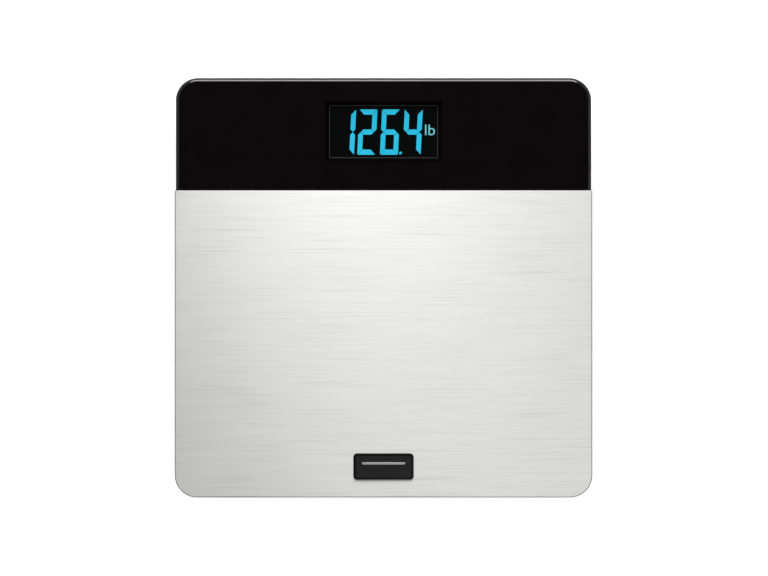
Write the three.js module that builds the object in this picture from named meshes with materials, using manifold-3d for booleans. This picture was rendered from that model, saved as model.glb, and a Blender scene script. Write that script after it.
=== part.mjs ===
// Digital bathroom scale: a glass platform with a folded steel tread, four load-cell feet,
// and a housing under the rear edge with the display, the circuit board and the battery bay.
// Millimetres, +Z up, +Y to the rear (the display end). The foot pads stand on Z = 0.

import * as THREE from 'three';
import { mergeVertices } from 'three/addons/utils/BufferGeometryUtils.js';
import Module from 'manifold-3d';

const wasm = await Module();
wasm.setup();

// ---------------------------------------------------------------- driving dimensions

// Platform outline
const PLATFORM_WIDTH = 300;
const PLATFORM_DEPTH = 301.4;
const PLATFORM_CORNER = 16;
const TREAD_REAR_EDGE = 69.7;

// Heights of the layers, from the floor up
const GLASS_BOTTOM = 18.5;
const GLASS_THICKNESS = 6;
const PRINT_THICKNESS = 0.2;
const ADHESIVE_THICKNESS = 0.2;
const SHEET_THICKNESS = 0.5;
const BADGE_THICKNESS = 1;
const GLUE_GAP = 0.1;

// Glass edge and steel fold
const BEVEL_WIDTH = 2.2;
const BEVEL_DROP = 1.4;
const FOLD_RADIUS = 0.8;

// Display
const WINDOW_WIDTH = 78.2;
const WINDOW_DEPTH = 38;
const WINDOW_CORNER = 1;
const WINDOW_CENTRE_Y = 112.3;
const BEZEL_LIP = 0.4;

// Badge
const BADGE_WIDTH = 43.3;
const BADGE_DEPTH = 18.9;
const BADGE_CORNER = 2.8;
const BADGE_FROM_FRONT = 22.3;
const BADGE_RIM = 1.5;
const BADGE_RECESS = 0.35;

// Electronics housing
const HOUSING_HALF_WIDTH = 60;
const HOUSING_FRONT = 38;
const HOUSING_REAR = 141;
const HOUSING_CORNER = 8;
const HOUSING_BOTTOM = 4;
const HOUSING_SPLIT = 12;
const HOUSING_TOP = 18;
const HOUSING_WALL = 2;
const HOUSING_FLOOR = 1.8;
const BOSS_RADIUS = 3.5;
const BOSS_X = 52;
const BOSS_FRONT_Y = 46;
const BOSS_REAR_Y = 133;

// Battery bay, for three AAA cells side by side
const CELL_RADIUS = 5.25;
const CELL_LENGTH = 44.5;
const CELL_PITCH = 11.2;
const CELL_HEIGHT = 11.45;
const BAY_CENTRE_Y = 62;
const BAY_HALF_LENGTH = 26;
const BAY_HALF_DEPTH = 17;
const BAY_WALL = 1.2;
const BAY_ROOF = 17;
const BAY_TOP = 17.9;
const DOOR_THICKNESS = 1.7;
const HINGE_Y = 43;
const HINGE_Z = 4.9;

// Circuit board
const BOARD_BOTTOM = 11.6;
const BOARD_THICKNESS = 1.2;
const BUTTON_X = 34;
const BUTTON_Y = 98;

// Feet
const FOOT_X = 112;
const FOOT_Y = 112;
const PAD_RADIUS = 20;
const PAD_HEIGHT = 2;
const CUP_RADIUS = 22.8;
const CUP_FLANGE_RADIUS = 24.4;
const BRACKET_RADIUS = 27;
const BRACKET_FLANGE_RADIUS = 32;
const BRACKET_BORE = 23.2;
const BRACKET_CAVITY = 25;
const LOAD_CELL_SIDE = 34;
const LOAD_CELL_BOTTOM = 12;
const LOAD_CELL_THICKNESS = 1.5;
const LOAD_CELL_CORNER = 4;

// Leads and their covers
const LEAD_RADIUS = 1.1;
const LEAD_HEIGHT = 15.3;
const BATTERY_LEAD_RADIUS = 0.7;
const CHANNEL_HALF_WIDTH = 4.7;
const CHANNEL_WALL = 1.2;
const CHANNEL_BOTTOM = 12.8;
const BRANCH_Y = 70;

// Worked out from the above
const REAR = PLATFORM_DEPTH / 2;
const FRONT = -PLATFORM_DEPTH / 2;
const SIDE = PLATFORM_WIDTH / 2;
const SHEET_OFFSET = SHEET_THICKNESS + GLUE_GAP;
const GLASS_TOP = GLASS_BOTTOM + GLASS_THICKNESS;
const ADHESIVE_BOTTOM = GLASS_TOP + GLUE_GAP;
const SHEET_BOTTOM = ADHESIVE_BOTTOM + ADHESIVE_THICKNESS + GLUE_GAP;
const TREAD_TOP = SHEET_BOTTOM + SHEET_THICKNESS;
const BADGE_CENTRE_Y = FRONT + BADGE_FROM_FRONT;
const BOARD_TOP = BOARD_BOTTOM + BOARD_THICKNESS;

// How finely round shapes are divided
const FINE = 24;
const MEDIUM = 14;
const COARSE = 8;
const CORNER_STEPS = 3;
const LEAD_SIDES = 6;

// ---------------------------------------------------------------- shape helpers

// A closed mesh as a solid that can be cut and joined.
function solidOf(geometry) {
  const bare = geometry.clone();
  bare.deleteAttribute('normal');
  bare.deleteAttribute('uv');
  const merged = mergeVertices(bare, 1e-4);
  return new wasm.Manifold(new wasm.Mesh({
    numProp: 3,
    vertProperties: new Float32Array(merged.attributes.position.array),
    triVerts: new Uint32Array(merged.index.array),
  }));
}

function geometryOf(solid) {
  const mesh = solid.getMesh();
  const geometry = new THREE.BufferGeometry();
  geometry.setAttribute('position', new THREE.BufferAttribute(mesh.vertProperties, 3));
  geometry.setIndex(new THREE.BufferAttribute(mesh.triVerts, 1));
  geometry.computeVertexNormals();
  return geometry;
}

// The first geometry joined with the rest of the list.
function joined(...geometries) {
  return geometryOf(geometries.map(solidOf).reduce((whole, piece) => whole.add(piece)));
}

// The first geometry with the rest of the list cut out of it.
function cut(geometry, ...cutters) {
  const whole = solidOf(geometry);
  return geometryOf(cutters.map(solidOf).reduce((left, cutter) => left.subtract(cutter), whole));
}

// A box between two places along X, Y and Z. Those along X may come in either order.
function block(xFrom, xTo, yMin, yMax, zMin, zMax) {
  const geometry = new THREE.BoxGeometry(Math.abs(xTo - xFrom), yMax - yMin, zMax - zMin);
  return geometry.translate((xFrom + xTo) / 2, (yMin + yMax) / 2, (zMin + zMax) / 2);
}

// A rectangle whose front and rear corners may have different radii.
function roundedOutline(xMin, xMax, yMin, yMax, frontRadius, rearRadius = frontRadius) {
  const shape = new THREE.Shape();
  shape.moveTo(xMin + frontRadius, yMin);
  shape.lineTo(xMax - frontRadius, yMin);
  shape.absarc(xMax - frontRadius, yMin + frontRadius, frontRadius, -Math.PI / 2, 0);
  shape.lineTo(xMax, yMax - rearRadius);
  shape.absarc(xMax - rearRadius, yMax - rearRadius, rearRadius, 0, Math.PI / 2);
  shape.lineTo(xMin + rearRadius, yMax);
  shape.absarc(xMin + rearRadius, yMax - rearRadius, rearRadius, Math.PI / 2, Math.PI);
  shape.lineTo(xMin, yMin + frontRadius);
  shape.absarc(xMin + frontRadius, yMin + frontRadius, frontRadius, Math.PI, Math.PI * 1.5);
  return shape;
}

function roundedRectangle(width, depth, radius, centreY = 0) {
  return roundedOutline(-width / 2, width / 2, centreY - depth / 2, centreY + depth / 2, radius);
}

// An outline raised between two heights.
function slab(shape, zMin, zMax, curveSegments = CORNER_STEPS) {
  const geometry = new THREE.ExtrudeGeometry(shape, {
    depth: zMax - zMin,
    bevelEnabled: false,
    curveSegments,
  });
  return geometry.translate(0, 0, zMin);
}

// An outline raised between two heights, with its edges cut back at both ends.
function bevelledSlab(shape, zMin, zMax, bevelWidth, bevelDrop, bevelSegments = 1) {
  const geometry = new THREE.ExtrudeGeometry(shape, {
    depth: zMax - zMin - 2 * bevelDrop,
    bevelEnabled: true,
    bevelSize: bevelWidth,
    bevelOffset: -bevelWidth,
    bevelThickness: bevelDrop,
    bevelSegments,
    curveSegments: CORNER_STEPS,
  });
  return geometry.translate(0, 0, zMin + bevelDrop);
}

// A profile of [radius, height] points turned about the Z axis.
function turned(profile, segments = FINE) {
  const points = profile.map(([radius, height]) => new THREE.Vector2(radius, height));
  return new THREE.LatheGeometry(points, segments).rotateX(Math.PI / 2);
}

// A plain round bar between two heights.
function bar(radius, zMin, zMax, x = 0, y = 0, segments = MEDIUM) {
  const geometry = new THREE.CylinderGeometry(radius, radius, zMax - zMin, segments);
  return geometry.rotateX(Math.PI / 2).translate(x, y, (zMin + zMax) / 2);
}

// A round bar that lies along X.
function barAlongX(radius, xMin, xMax, y, z, segments = COARSE) {
  const geometry = new THREE.CylinderGeometry(radius, radius, xMax - xMin, segments);
  return geometry.rotateZ(Math.PI / 2).translate((xMin + xMax) / 2, y, z);
}

// A round tube of a lead that follows a smooth route.
function lead(route, radius, steps) {
  const section = new THREE.Shape();
  section.absarc(0, 0, radius, 0, Math.PI * 2);
  const points = route.map(([x, y, z]) => new THREE.Vector3(x, y, z));
  return new THREE.ExtrudeGeometry(section, {
    steps,
    curveSegments: LEAD_SIDES / 2,
    extrudePath: new THREE.CatmullRomCurve3(points, false, 'centripetal'),
  });
}

// ---------------------------------------------------------------- finishes

const scale = new THREE.Group();

function finish(color, roughness, metalness = 0) {
  return new THREE.MeshStandardMaterial({ color, roughness, metalness });
}

function addPart(name, geometry, material, parent = scale) {
  const mesh = new THREE.Mesh(geometry, material);
  mesh.name = name;
  parent.add(mesh);
}

const glass = () => finish(0x0e0a0b, 0.05);
const blackPrint = () => finish(0x0e0b0c, 0.4);
const brushedSteel = () => finish(0xcfd1cf, 0.35, 1);
const blackPlastic = () => finish(0x1a1a1b, 0.55);
const glossBlack = () => finish(0x202020, 0.3);
const nickel = () => finish(0xc4c2bb, 0.3, 1);

// ---------------------------------------------------------------- platform

// The glass is set in from the steel's sides and front by the sheet that wraps them, and
// its top edge is bevelled. The bevel below is cut off, so the underside stays square.
function glassPlatform() {
  const outline = roundedOutline(
    -SIDE + SHEET_OFFSET, SIDE - SHEET_OFFSET, FRONT + SHEET_OFFSET, REAR,
    PLATFORM_CORNER - SHEET_OFFSET, PLATFORM_CORNER,
  );
  const blank = bevelledSlab(outline, GLASS_BOTTOM - 2 * BEVEL_DROP, GLASS_TOP, BEVEL_WIDTH, BEVEL_DROP);
  const below = block(-SIDE, SIDE, FRONT, REAR + 1, 0, GLASS_BOTTOM);
  return cut(blank, below);
}

// The black layer under the glass, open at the display window.
function blackPrintLayer() {
  const inset = SHEET_OFFSET + 0.3;
  const shape = roundedOutline(
    -SIDE + inset, SIDE - inset, FRONT + inset, REAR - 0.3,
    PLATFORM_CORNER - inset, PLATFORM_CORNER - 0.3,
  );
  shape.holes.push(roundedRectangle(WINDOW_WIDTH, WINDOW_DEPTH, WINDOW_CORNER, WINDOW_CENTRE_Y));
  const top = GLASS_BOTTOM - GLUE_GAP;
  return slab(shape, top - PRINT_THICKNESS, top);
}

// A shallow folded tray, open below and at the rear, that wraps three sides of the glass.
function steelTread() {
  const outer = roundedOutline(-SIDE, SIDE, FRONT, REAR, PLATFORM_CORNER);
  const sheet = SHEET_THICKNESS;
  const inner = roundedOutline(
    -SIDE + sheet, SIDE - sheet, FRONT + sheet, REAR + sheet, PLATFORM_CORNER - sheet,
  );
  const depthBelow = 2 * FOLD_RADIUS;
  const blank = bevelledSlab(outer, GLASS_BOTTOM - depthBelow, TREAD_TOP, FOLD_RADIUS, FOLD_RADIUS, 3);
  const hollow = slab(inner, 0, SHEET_BOTTOM);
  const below = block(-SIDE - 1, SIDE + 1, FRONT - 1, REAR + 1, 0, GLASS_BOTTOM);
  const behind = block(-SIDE - 1, SIDE + 1, TREAD_REAR_EDGE, REAR + 1, 0, TREAD_TOP + 1);
  return cut(blank, hollow, below, behind);
}

function treadAdhesive() {
  const margin = 3.5;
  const shape = roundedOutline(
    -SIDE + margin, SIDE - margin, FRONT + margin, TREAD_REAR_EDGE - 1, PLATFORM_CORNER - margin, 1,
  );
  return slab(shape, ADHESIVE_BOTTOM, ADHESIVE_BOTTOM + ADHESIVE_THICKNESS);
}

// A blank plate with a raised rim round a sunk face.
function badge() {
  const bottom = TREAD_TOP + GLUE_GAP;
  const top = bottom + BADGE_THICKNESS;
  const plate = slab(roundedRectangle(BADGE_WIDTH, BADGE_DEPTH, BADGE_CORNER, BADGE_CENTRE_Y), bottom, top);
  const face = slab(
    roundedRectangle(
      BADGE_WIDTH - 2 * BADGE_RIM, BADGE_DEPTH - 2 * BADGE_RIM, BADGE_CORNER - BADGE_RIM, BADGE_CENTRE_Y,
    ),
    top - BADGE_RECESS, top + 1,
  );
  return cut(plate, face);
}

addPart('glass_platform', glassPlatform(), glass());
addPart('black_print', blackPrintLayer(), blackPrint());
addPart('steel_tread', steelTread(), brushedSteel());
addPart('tread_adhesive', treadAdhesive(), finish(0xd8d4c8, 0.6));
addPart('badge', badge(), glossBlack());

// ---------------------------------------------------------------- display

const PANEL_WIDTH = 83.4;
const PANEL_DEPTH = 42.4;
const PANEL_BOTTOM = 15.1;
const PANEL_TOP = 17.1;
const BEZEL_WIDTH = 90;
const BEZEL_DEPTH = 50;
const BEZEL_CORNER = 2;
const BEZEL_BOTTOM = 13;
const PANEL_CLEARANCE = 0.3;

// A frame glued behind the window. Its lip shows inside the window as a fine outline.
function lcdBezel() {
  const frame = slab(
    roundedRectangle(BEZEL_WIDTH, BEZEL_DEPTH, BEZEL_CORNER, WINDOW_CENTRE_Y), BEZEL_BOTTOM, HOUSING_TOP,
  );
  const seatWidth = PANEL_WIDTH + 2 * PANEL_CLEARANCE;
  const seatDepth = PANEL_DEPTH + 2 * PANEL_CLEARANCE;
  const seat = slab(roundedRectangle(seatWidth, seatDepth, 0.5, WINDOW_CENTRE_Y), 0, PANEL_TOP + GLUE_GAP);
  const viewWidth = WINDOW_WIDTH - 2 * BEZEL_LIP;
  const viewDepth = WINDOW_DEPTH - 2 * BEZEL_LIP;
  const viewCorner = WINDOW_CORNER - BEZEL_LIP / 2;
  const view = roundedRectangle(viewWidth, viewDepth, viewCorner, WINDOW_CENTRE_Y);
  const opening = slab(view, 0, HOUSING_TOP + 1);
  return cut(frame, seat, opening);
}

const PANEL_FRONT = WINDOW_CENTRE_Y - PANEL_DEPTH / 2;
const PANEL_REAR = WINDOW_CENTRE_Y + PANEL_DEPTH / 2;
const ZEBRA_DEPTH = 2;
const ZEBRA_HALF_LENGTH = 36;
const LED_THICKNESS = 1.8;
const LED_HALF_LENGTH = 4;
const GUIDE_LEFT = -39.3;
const GUIDE_RIGHT = 41.5;

function lcdPanel() {
  return block(-PANEL_WIDTH / 2, PANEL_WIDTH / 2, PANEL_FRONT, PANEL_REAR, PANEL_BOTTOM, PANEL_TOP);
}

function backlightGuide() {
  const front = PANEL_FRONT + ZEBRA_DEPTH + 1;
  return block(GUIDE_LEFT, GUIDE_RIGHT, front, PANEL_REAR - 0.2, BOARD_TOP + 0.2, PANEL_BOTTOM - 0.1);
}

function backlightLed() {
  const right = GUIDE_LEFT - 0.3;
  const front = WINDOW_CENTRE_Y - LED_HALF_LENGTH;
  const rear = WINDOW_CENTRE_Y + LED_HALF_LENGTH;
  const bottom = BOARD_TOP + GLUE_GAP;
  return block(right - LED_THICKNESS, right, front, rear, bottom, bottom + LED_THICKNESS);
}

// The striped rubber connector stands on the board beside the light guide.
function zebraStrip() {
  const front = PANEL_FRONT + 0.4;
  const rear = front + ZEBRA_DEPTH;
  return block(-ZEBRA_HALF_LENGTH, ZEBRA_HALF_LENGTH, front, rear, BOARD_TOP + 0.1, PANEL_BOTTOM - 0.05);
}

addPart('lcd_bezel', lcdBezel(), finish(0x3c3c3e, 0.5));
addPart('lcd_panel', lcdPanel(), finish(0x050505, 0.15));
addPart('backlight_guide', backlightGuide(), finish(0x9fd4e8, 0.4));
addPart('backlight_led', backlightLed(), finish(0xf2f2ea, 0.5));
addPart('zebra_strip', zebraStrip(), finish(0x2c2f3a, 0.8));

// ---------------------------------------------------------------- circuit board and switch

// The board carries the display and has a wing each side for the solder pads of the leads.
function mainBoard() {
  const centre = 46;
  const wing = 56;
  const front = 87;
  const wingRear = 128;
  const rear = 136;
  const shape = new THREE.Shape([
    new THREE.Vector2(-wing, front),
    new THREE.Vector2(wing, front),
    new THREE.Vector2(wing, wingRear),
    new THREE.Vector2(centre, wingRear),
    new THREE.Vector2(centre, rear),
    new THREE.Vector2(-centre, rear),
    new THREE.Vector2(-centre, wingRear),
    new THREE.Vector2(-wing, wingRear),
  ]);
  return slab(shape, BOARD_BOTTOM, BOARD_TOP);
}

const CHIP_X = -18;
const CHIP_Y = 108;

// A low dome of potting resin over the chip, on the board's lower side.
function chipCover() {
  const radius = 7;
  const drop = 1.3;
  const top = BOARD_BOTTOM - GLUE_GAP;
  const profile = [
    [0, top - drop],
    [radius * 0.5, top - drop * 0.9],
    [radius * 0.85, top - drop * 0.5],
    [radius, top],
    [0, top],
  ];
  return turned(profile, MEDIUM).translate(CHIP_X, CHIP_Y, 0);
}

const SWITCH_SIDE = 6;
const SWITCH_BOTTOM = 8;
const PLUNGER_RADIUS = 1.7;
const PLUNGER_BOTTOM = 7.2;

function switchBody() {
  const half = SWITCH_SIDE / 2;
  const top = BOARD_BOTTOM - GLUE_GAP;
  const body = block(
    BUTTON_X - half, BUTTON_X + half, BUTTON_Y - half, BUTTON_Y + half, SWITCH_BOTTOM, top,
  );
  const bore = bar(PLUNGER_RADIUS + 0.3, SWITCH_BOTTOM - 1, SWITCH_BOTTOM + 2, BUTTON_X, BUTTON_Y);
  return cut(body, bore);
}

function switchPlunger() {
  return bar(PLUNGER_RADIUS, PLUNGER_BOTTOM, SWITCH_BOTTOM + 1.2, BUTTON_X, BUTTON_Y);
}

const BUTTON_RADIUS = 4.5;
const BUTTON_FLANGE_RADIUS = 6;
const BUTTON_FLANGE_THICKNESS = 0.8;
const BUTTON_STEM_RADIUS = 1.5;
const BUTTON_PROUD = 0.4;

// A cap that stands a little proud of the cover, kept in by a flange, with a stem on top.
function unitButton() {
  const floorTop = HOUSING_BOTTOM + HOUSING_FLOOR;
  const low = HOUSING_BOTTOM - BUTTON_PROUD;
  const flangeBottom = floorTop + 0.1;
  const flangeTop = flangeBottom + BUTTON_FLANGE_THICKNESS;
  const stemTop = PLUNGER_BOTTOM - 0.1;
  const profile = [
    [0, low],
    [BUTTON_RADIUS - 0.6, low],
    [BUTTON_RADIUS, low + 0.4],
    [BUTTON_RADIUS, flangeBottom],
    [BUTTON_FLANGE_RADIUS, flangeBottom],
    [BUTTON_FLANGE_RADIUS, flangeTop],
    [BUTTON_STEM_RADIUS, flangeTop],
    [BUTTON_STEM_RADIUS, stemTop],
    [0, stemTop],
  ];
  return turned(profile, MEDIUM).translate(BUTTON_X, BUTTON_Y, 0);
}

addPart('main_board', mainBoard(), finish(0x1f5a35, 0.5));
addPart('chip_cover', chipCover(), finish(0x0b0b0b, 0.35));
addPart('switch_body', switchBody(), finish(0x2a2a2a, 0.5));
addPart('switch_plunger', switchPlunger(), finish(0xd9d6cf, 0.5));
addPart('unit_button', unitButton(), finish(0x6e7072, 0.55));

// ---------------------------------------------------------------- housing

const BOSSES = [-1, 1].flatMap((side) => [
  { name: side < 0 ? 'front_left' : 'front_right', x: side * BOSS_X, y: BOSS_FRONT_Y },
  { name: side < 0 ? 'rear_left' : 'rear_right', x: side * BOSS_X, y: BOSS_REAR_Y },
]);
const SCREW_HEAD_BOTTOM = 6.5;
const SCREW_HEAD_TOP = 8.5;
const SCREW_HEAD_RADIUS = 2.3;
const SCREW_SHANK_RADIUS = 1.1;
const SCREW_TIP = 16.5;

function housingOutline(inset = 0) {
  return roundedOutline(
    -HOUSING_HALF_WIDTH + inset, HOUSING_HALF_WIDTH - inset,
    HOUSING_FRONT + inset, HOUSING_REAR - inset, HOUSING_CORNER - inset,
  );
}

// The upper ring, glued to the printed glass. The leads come in through its two side slots.
function housingFrame() {
  const ring = cut(
    slab(housingOutline(), HOUSING_SPLIT, HOUSING_TOP),
    slab(housingOutline(HOUSING_WALL), HOUSING_SPLIT - 1, HOUSING_TOP + 1),
  );
  const posts = BOSSES.map((boss) => bar(BOSS_RADIUS, HOUSING_SPLIT, HOUSING_TOP, boss.x, boss.y));
  const webs = BOSSES.map((boss) => {
    const wallX = Math.sign(boss.x) * (HOUSING_HALF_WIDTH - 1);
    return block(boss.x, wallX, boss.y - 1, boss.y + 1, HOUSING_SPLIT, HOUSING_TOP);
  });
  const pilotRadius = SCREW_SHANK_RADIUS + 0.15;
  const holes = BOSSES.map((boss) => bar(
    pilotRadius, HOUSING_SPLIT - 1, HOUSING_TOP - 0.8, boss.x, boss.y,
  ));
  const slotHalf = CHANNEL_HALF_WIDTH;
  const slots = [-1, 1].map((side) => block(
    side * (HOUSING_HALF_WIDTH - 4), side * (HOUSING_HALF_WIDTH + 1),
    BRANCH_Y - slotHalf, BRANCH_Y + slotHalf, LEAD_HEIGHT - LEAD_RADIUS - 0.3, HOUSING_TOP + 1,
  ));
  return cut(joined(ring, ...posts, ...webs), ...holes, ...slots);
}

const DOOR_HALF_WIDTH = 28.2;
const DOOR_REAR = 81.3;
const DOOR_GAP = 0.3;
const LEDGE_HALF_WIDTH = 31;
const LEDGE_REAR = 84;
const LEDGE_TOP = 7.4;
const DOOR_BED = HOUSING_BOTTOM + DOOR_THICKNESS + 0.2;
const PIN_RADIUS = 0.55;
const PIN_HOLE_RADIUS = 0.8;
const PIN_LENGTH = 1.6;
const TAIL_HEIGHT = 15.8;
const TAIL_HALF_WIDTH = 1.4;
const SCOOP_RADIUS = 7;

// The lower tray: outer shell, battery tub with its door bed, screw posts and button hole.
function housingCover() {
  const floorTop = HOUSING_BOTTOM + HOUSING_FLOOR;
  const shellTop = HOUSING_SPLIT - GLUE_GAP;
  const shell = cut(
    slab(housingOutline(), HOUSING_BOTTOM, shellTop),
    slab(housingOutline(HOUSING_WALL), floorTop, shellTop + 1),
  );
  const bayFront = BAY_CENTRE_Y - BAY_HALF_DEPTH;
  const bayRear = BAY_CENTRE_Y + BAY_HALF_DEPTH;
  const ledge = block(
    -LEDGE_HALF_WIDTH, LEDGE_HALF_WIDTH, HOUSING_FRONT + 1, LEDGE_REAR, HOUSING_BOTTOM, LEDGE_TOP,
  );
  const tub = block(
    -BAY_HALF_LENGTH - BAY_WALL, BAY_HALF_LENGTH + BAY_WALL, bayFront - BAY_WALL, bayRear + BAY_WALL,
    HOUSING_BOTTOM, BAY_TOP,
  );
  const posts = BOSSES.map((boss) => bar(BOSS_RADIUS, HOUSING_BOTTOM, shellTop, boss.x, boss.y));
  const hollow = block(-BAY_HALF_LENGTH, BAY_HALF_LENGTH, bayFront, bayRear, 0, BAY_ROOF);
  const bedHalf = DOOR_HALF_WIDTH + DOOR_GAP;
  const doorBed = block(-bedHalf, bedHalf, HINGE_Y - 1.4, DOOR_REAR + DOOR_GAP, 0, DOOR_BED);
  const pinReach = DOOR_HALF_WIDTH + PIN_LENGTH + 0.3;
  const pinHoles = barAlongX(PIN_HOLE_RADIUS, -pinReach, pinReach, HINGE_Y, HINGE_Z);
  const fingerScoop = bar(SCOOP_RADIUS, 0, HOUSING_BOTTOM + 1.2, 0, DOOR_REAR - 1);
  const buttonHole = bar(BUTTON_RADIUS + 0.3, 0, floorTop + 0.05, BUTTON_X, BUTTON_Y);
  const headHoles = BOSSES.map((boss) => bar(
    SCREW_HEAD_RADIUS + 0.4, 0, SCREW_HEAD_TOP + 0.1, boss.x, boss.y,
  ));
  const shankHoles = BOSSES.map((boss) => bar(
    SCREW_SHANK_RADIUS + 0.4, 0, shellTop + 1, boss.x, boss.y,
  ));
  const tailSlots = [-1, 1].map((side) => {
    const y = BAY_CENTRE_Y + side * CELL_PITCH;
    const near = side * (BAY_HALF_LENGTH - 1);
    const far = side * (BAY_HALF_LENGTH + BAY_WALL + 1);
    const halfWidth = TAIL_HALF_WIDTH + 0.4;
    return block(near, far, y - halfWidth, y + halfWidth, TAIL_HEIGHT - 0.6, TAIL_HEIGHT + 0.6);
  });
  return cut(
    joined(shell, ledge, tub, ...posts),
    hollow, doorBed, pinHoles, fingerScoop, buttonHole, ...headHoles, ...shankHoles, ...tailSlots,
  );
}

function housingScrew(boss) {
  const profile = [
    [0, SCREW_HEAD_BOTTOM],
    [SCREW_HEAD_RADIUS - 0.3, SCREW_HEAD_BOTTOM],
    [SCREW_HEAD_RADIUS, SCREW_HEAD_BOTTOM + 0.5],
    [SCREW_HEAD_RADIUS, SCREW_HEAD_TOP],
    [SCREW_SHANK_RADIUS, SCREW_HEAD_TOP],
    [SCREW_SHANK_RADIUS, SCREW_TIP - 1],
    [0.3, SCREW_TIP],
    [0, SCREW_TIP],
  ];
  return turned(profile, COARSE).translate(boss.x, boss.y, 0);
}

addPart('housing_frame', housingFrame(), blackPlastic());
addPart('housing_cover', housingCover(), blackPlastic());
for (const boss of BOSSES) {
  addPart(`housing_screw_${boss.name}`, housingScrew(boss), nickel());
}

// ---------------------------------------------------------------- battery door

const HOOK_HALF_WIDTH = 5;
const HOOK_RISE = 1.8;
const SLIT_X = 6.4;
const SLIT_HALF_WIDTH = 0.4;
const SLIT_LENGTH = 9;

// A flat door with a round hinge barrel and end pins at the front, and a snap hook at the rear.
function batteryDoor() {
  const bottom = HINGE_Z - DOOR_THICKNESS / 2;
  const top = HINGE_Z + DOOR_THICKNESS / 2;
  const half = DOOR_HALF_WIDTH;
  const panel = block(-half, half, HINGE_Y, DOOR_REAR, bottom, top);
  const barrel = barAlongX(DOOR_THICKNESS / 2, -half, half, HINGE_Y, HINGE_Z, MEDIUM);
  const pins = barAlongX(PIN_RADIUS, -half - PIN_LENGTH, half + PIN_LENGTH, HINGE_Y, HINGE_Z);
  const hookRear = BAY_CENTRE_Y + BAY_HALF_DEPTH - 0.3;
  const hook = block(
    -HOOK_HALF_WIDTH, HOOK_HALF_WIDTH, hookRear - 1, hookRear, top - 0.1, top + HOOK_RISE,
  );
  const slits = [-1, 1].map((side) => block(
    side * (SLIT_X - SLIT_HALF_WIDTH), side * (SLIT_X + SLIT_HALF_WIDTH),
    DOOR_REAR - SLIT_LENGTH, DOOR_REAR + 1, 0, top + 1,
  ));
  return cut(joined(panel, barrel, pins, hook), ...slits);
}

addPart('battery_door', batteryDoor(), blackPlastic());

// ---------------------------------------------------------------- batteries and contacts

const PLATE_THICKNESS = 0.4;
const PLATE_INNER_X = 25.4;
const CELL_TIP_X = 25.2;
const CELL_NUB = 0.8;
const CELL_NUB_RADIUS = 1.9;
const CELL_SEGMENTS = 16;
const PLATE_BOTTOM = 7.4;
const PLATE_TOP = 16.6;
const SPRING_END_X = PLATE_INNER_X - 0.15;

// One AAA cell lying along X. Direction +1 has its raised terminal to the right.
function batteryCell(y, direction) {
  const body = CELL_LENGTH - CELL_NUB;
  const profile = [
    [0, 0],
    [CELL_RADIUS - 0.6, 0],
    [CELL_RADIUS, 0.5],
    [CELL_RADIUS, body - 0.5],
    [CELL_RADIUS - 0.6, body],
    [CELL_NUB_RADIUS, body],
    [CELL_NUB_RADIUS, CELL_LENGTH],
    [0, CELL_LENGTH],
  ];
  const geometry = turned(profile, CELL_SEGMENTS).rotateY(direction * Math.PI / 2);
  return geometry.translate(direction * (CELL_TIP_X - CELL_LENGTH), y, CELL_HEIGHT);
}

// A short conical coil between a cell's flat end and the contact plate behind it.
function contactSpring(y, direction) {
  const wire = 0.3;
  const turns = 3;
  const stepsPerTurn = 8;
  const innerRadius = 2;
  const outerRadius = 3.8;
  const start = CELL_LENGTH - CELL_TIP_X + 0.15 + wire;
  const end = SPRING_END_X - wire;
  class Coil extends THREE.Curve {
    getPoint(t, target = new THREE.Vector3()) {
      const angle = t * turns * Math.PI * 2;
      const radius = innerRadius + (outerRadius - innerRadius) * t;
      const along = start + (end - start) * t;
      const coilY = y + radius * Math.cos(angle);
      return target.set(-direction * along, coilY, CELL_HEIGHT + radius * Math.sin(angle));
    }
  }
  const section = new THREE.Shape();
  section.absarc(0, 0, wire, 0, Math.PI * 2);
  return new THREE.ExtrudeGeometry(section, {
    steps: turns * stepsPerTurn,
    curveSegments: 2,
    extrudePath: new Coil(),
  });
}

// A flat contact behind one cell or two. Only a single one has a tail out of the tub.
function contactPlate(side, yMin, yMax, tailY) {
  const inner = side * PLATE_INNER_X;
  const outer = side * (PLATE_INNER_X + PLATE_THICKNESS);
  const plate = block(inner, outer, yMin, yMax, PLATE_BOTTOM, PLATE_TOP);
  if (tailY === undefined) {
    return plate;
  }
  const tip = side * (BAY_HALF_LENGTH + BAY_WALL + 2);
  const half = PLATE_THICKNESS / 2;
  const tail = block(
    inner, tip, tailY - TAIL_HALF_WIDTH, tailY + TAIL_HALF_WIDTH, TAIL_HEIGHT - half, TAIL_HEIGHT + half,
  );
  return joined(plate, tail);
}

[-1, 0, 1].forEach((row, index) => {
  const y = BAY_CENTRE_Y + row * CELL_PITCH;
  const direction = row === 0 ? -1 : 1;
  addPart(`battery_${index + 1}`, batteryCell(y, direction), finish(0x2c6fb0, 0.35));
  addPart(`contact_spring_${index + 1}`, contactSpring(y, direction), nickel());
});

const firstCellY = BAY_CENTRE_Y - CELL_PITCH;
const lastCellY = BAY_CENTRE_Y + CELL_PITCH;
const plateHalf = 4.6;
const plates = [
  { name: 'left_single', side: -1, from: firstCellY, to: firstCellY, tailY: firstCellY },
  { name: 'left_pair', side: -1, from: BAY_CENTRE_Y, to: lastCellY },
  { name: 'right_pair', side: 1, from: firstCellY, to: BAY_CENTRE_Y },
  { name: 'right_single', side: 1, from: lastCellY, to: lastCellY, tailY: lastCellY },
];
for (const plate of plates) {
  const geometry = contactPlate(plate.side, plate.from - plateHalf, plate.to + plateHalf, plate.tailY);
  addPart(`contact_${plate.name}`, geometry, nickel());
}

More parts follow.
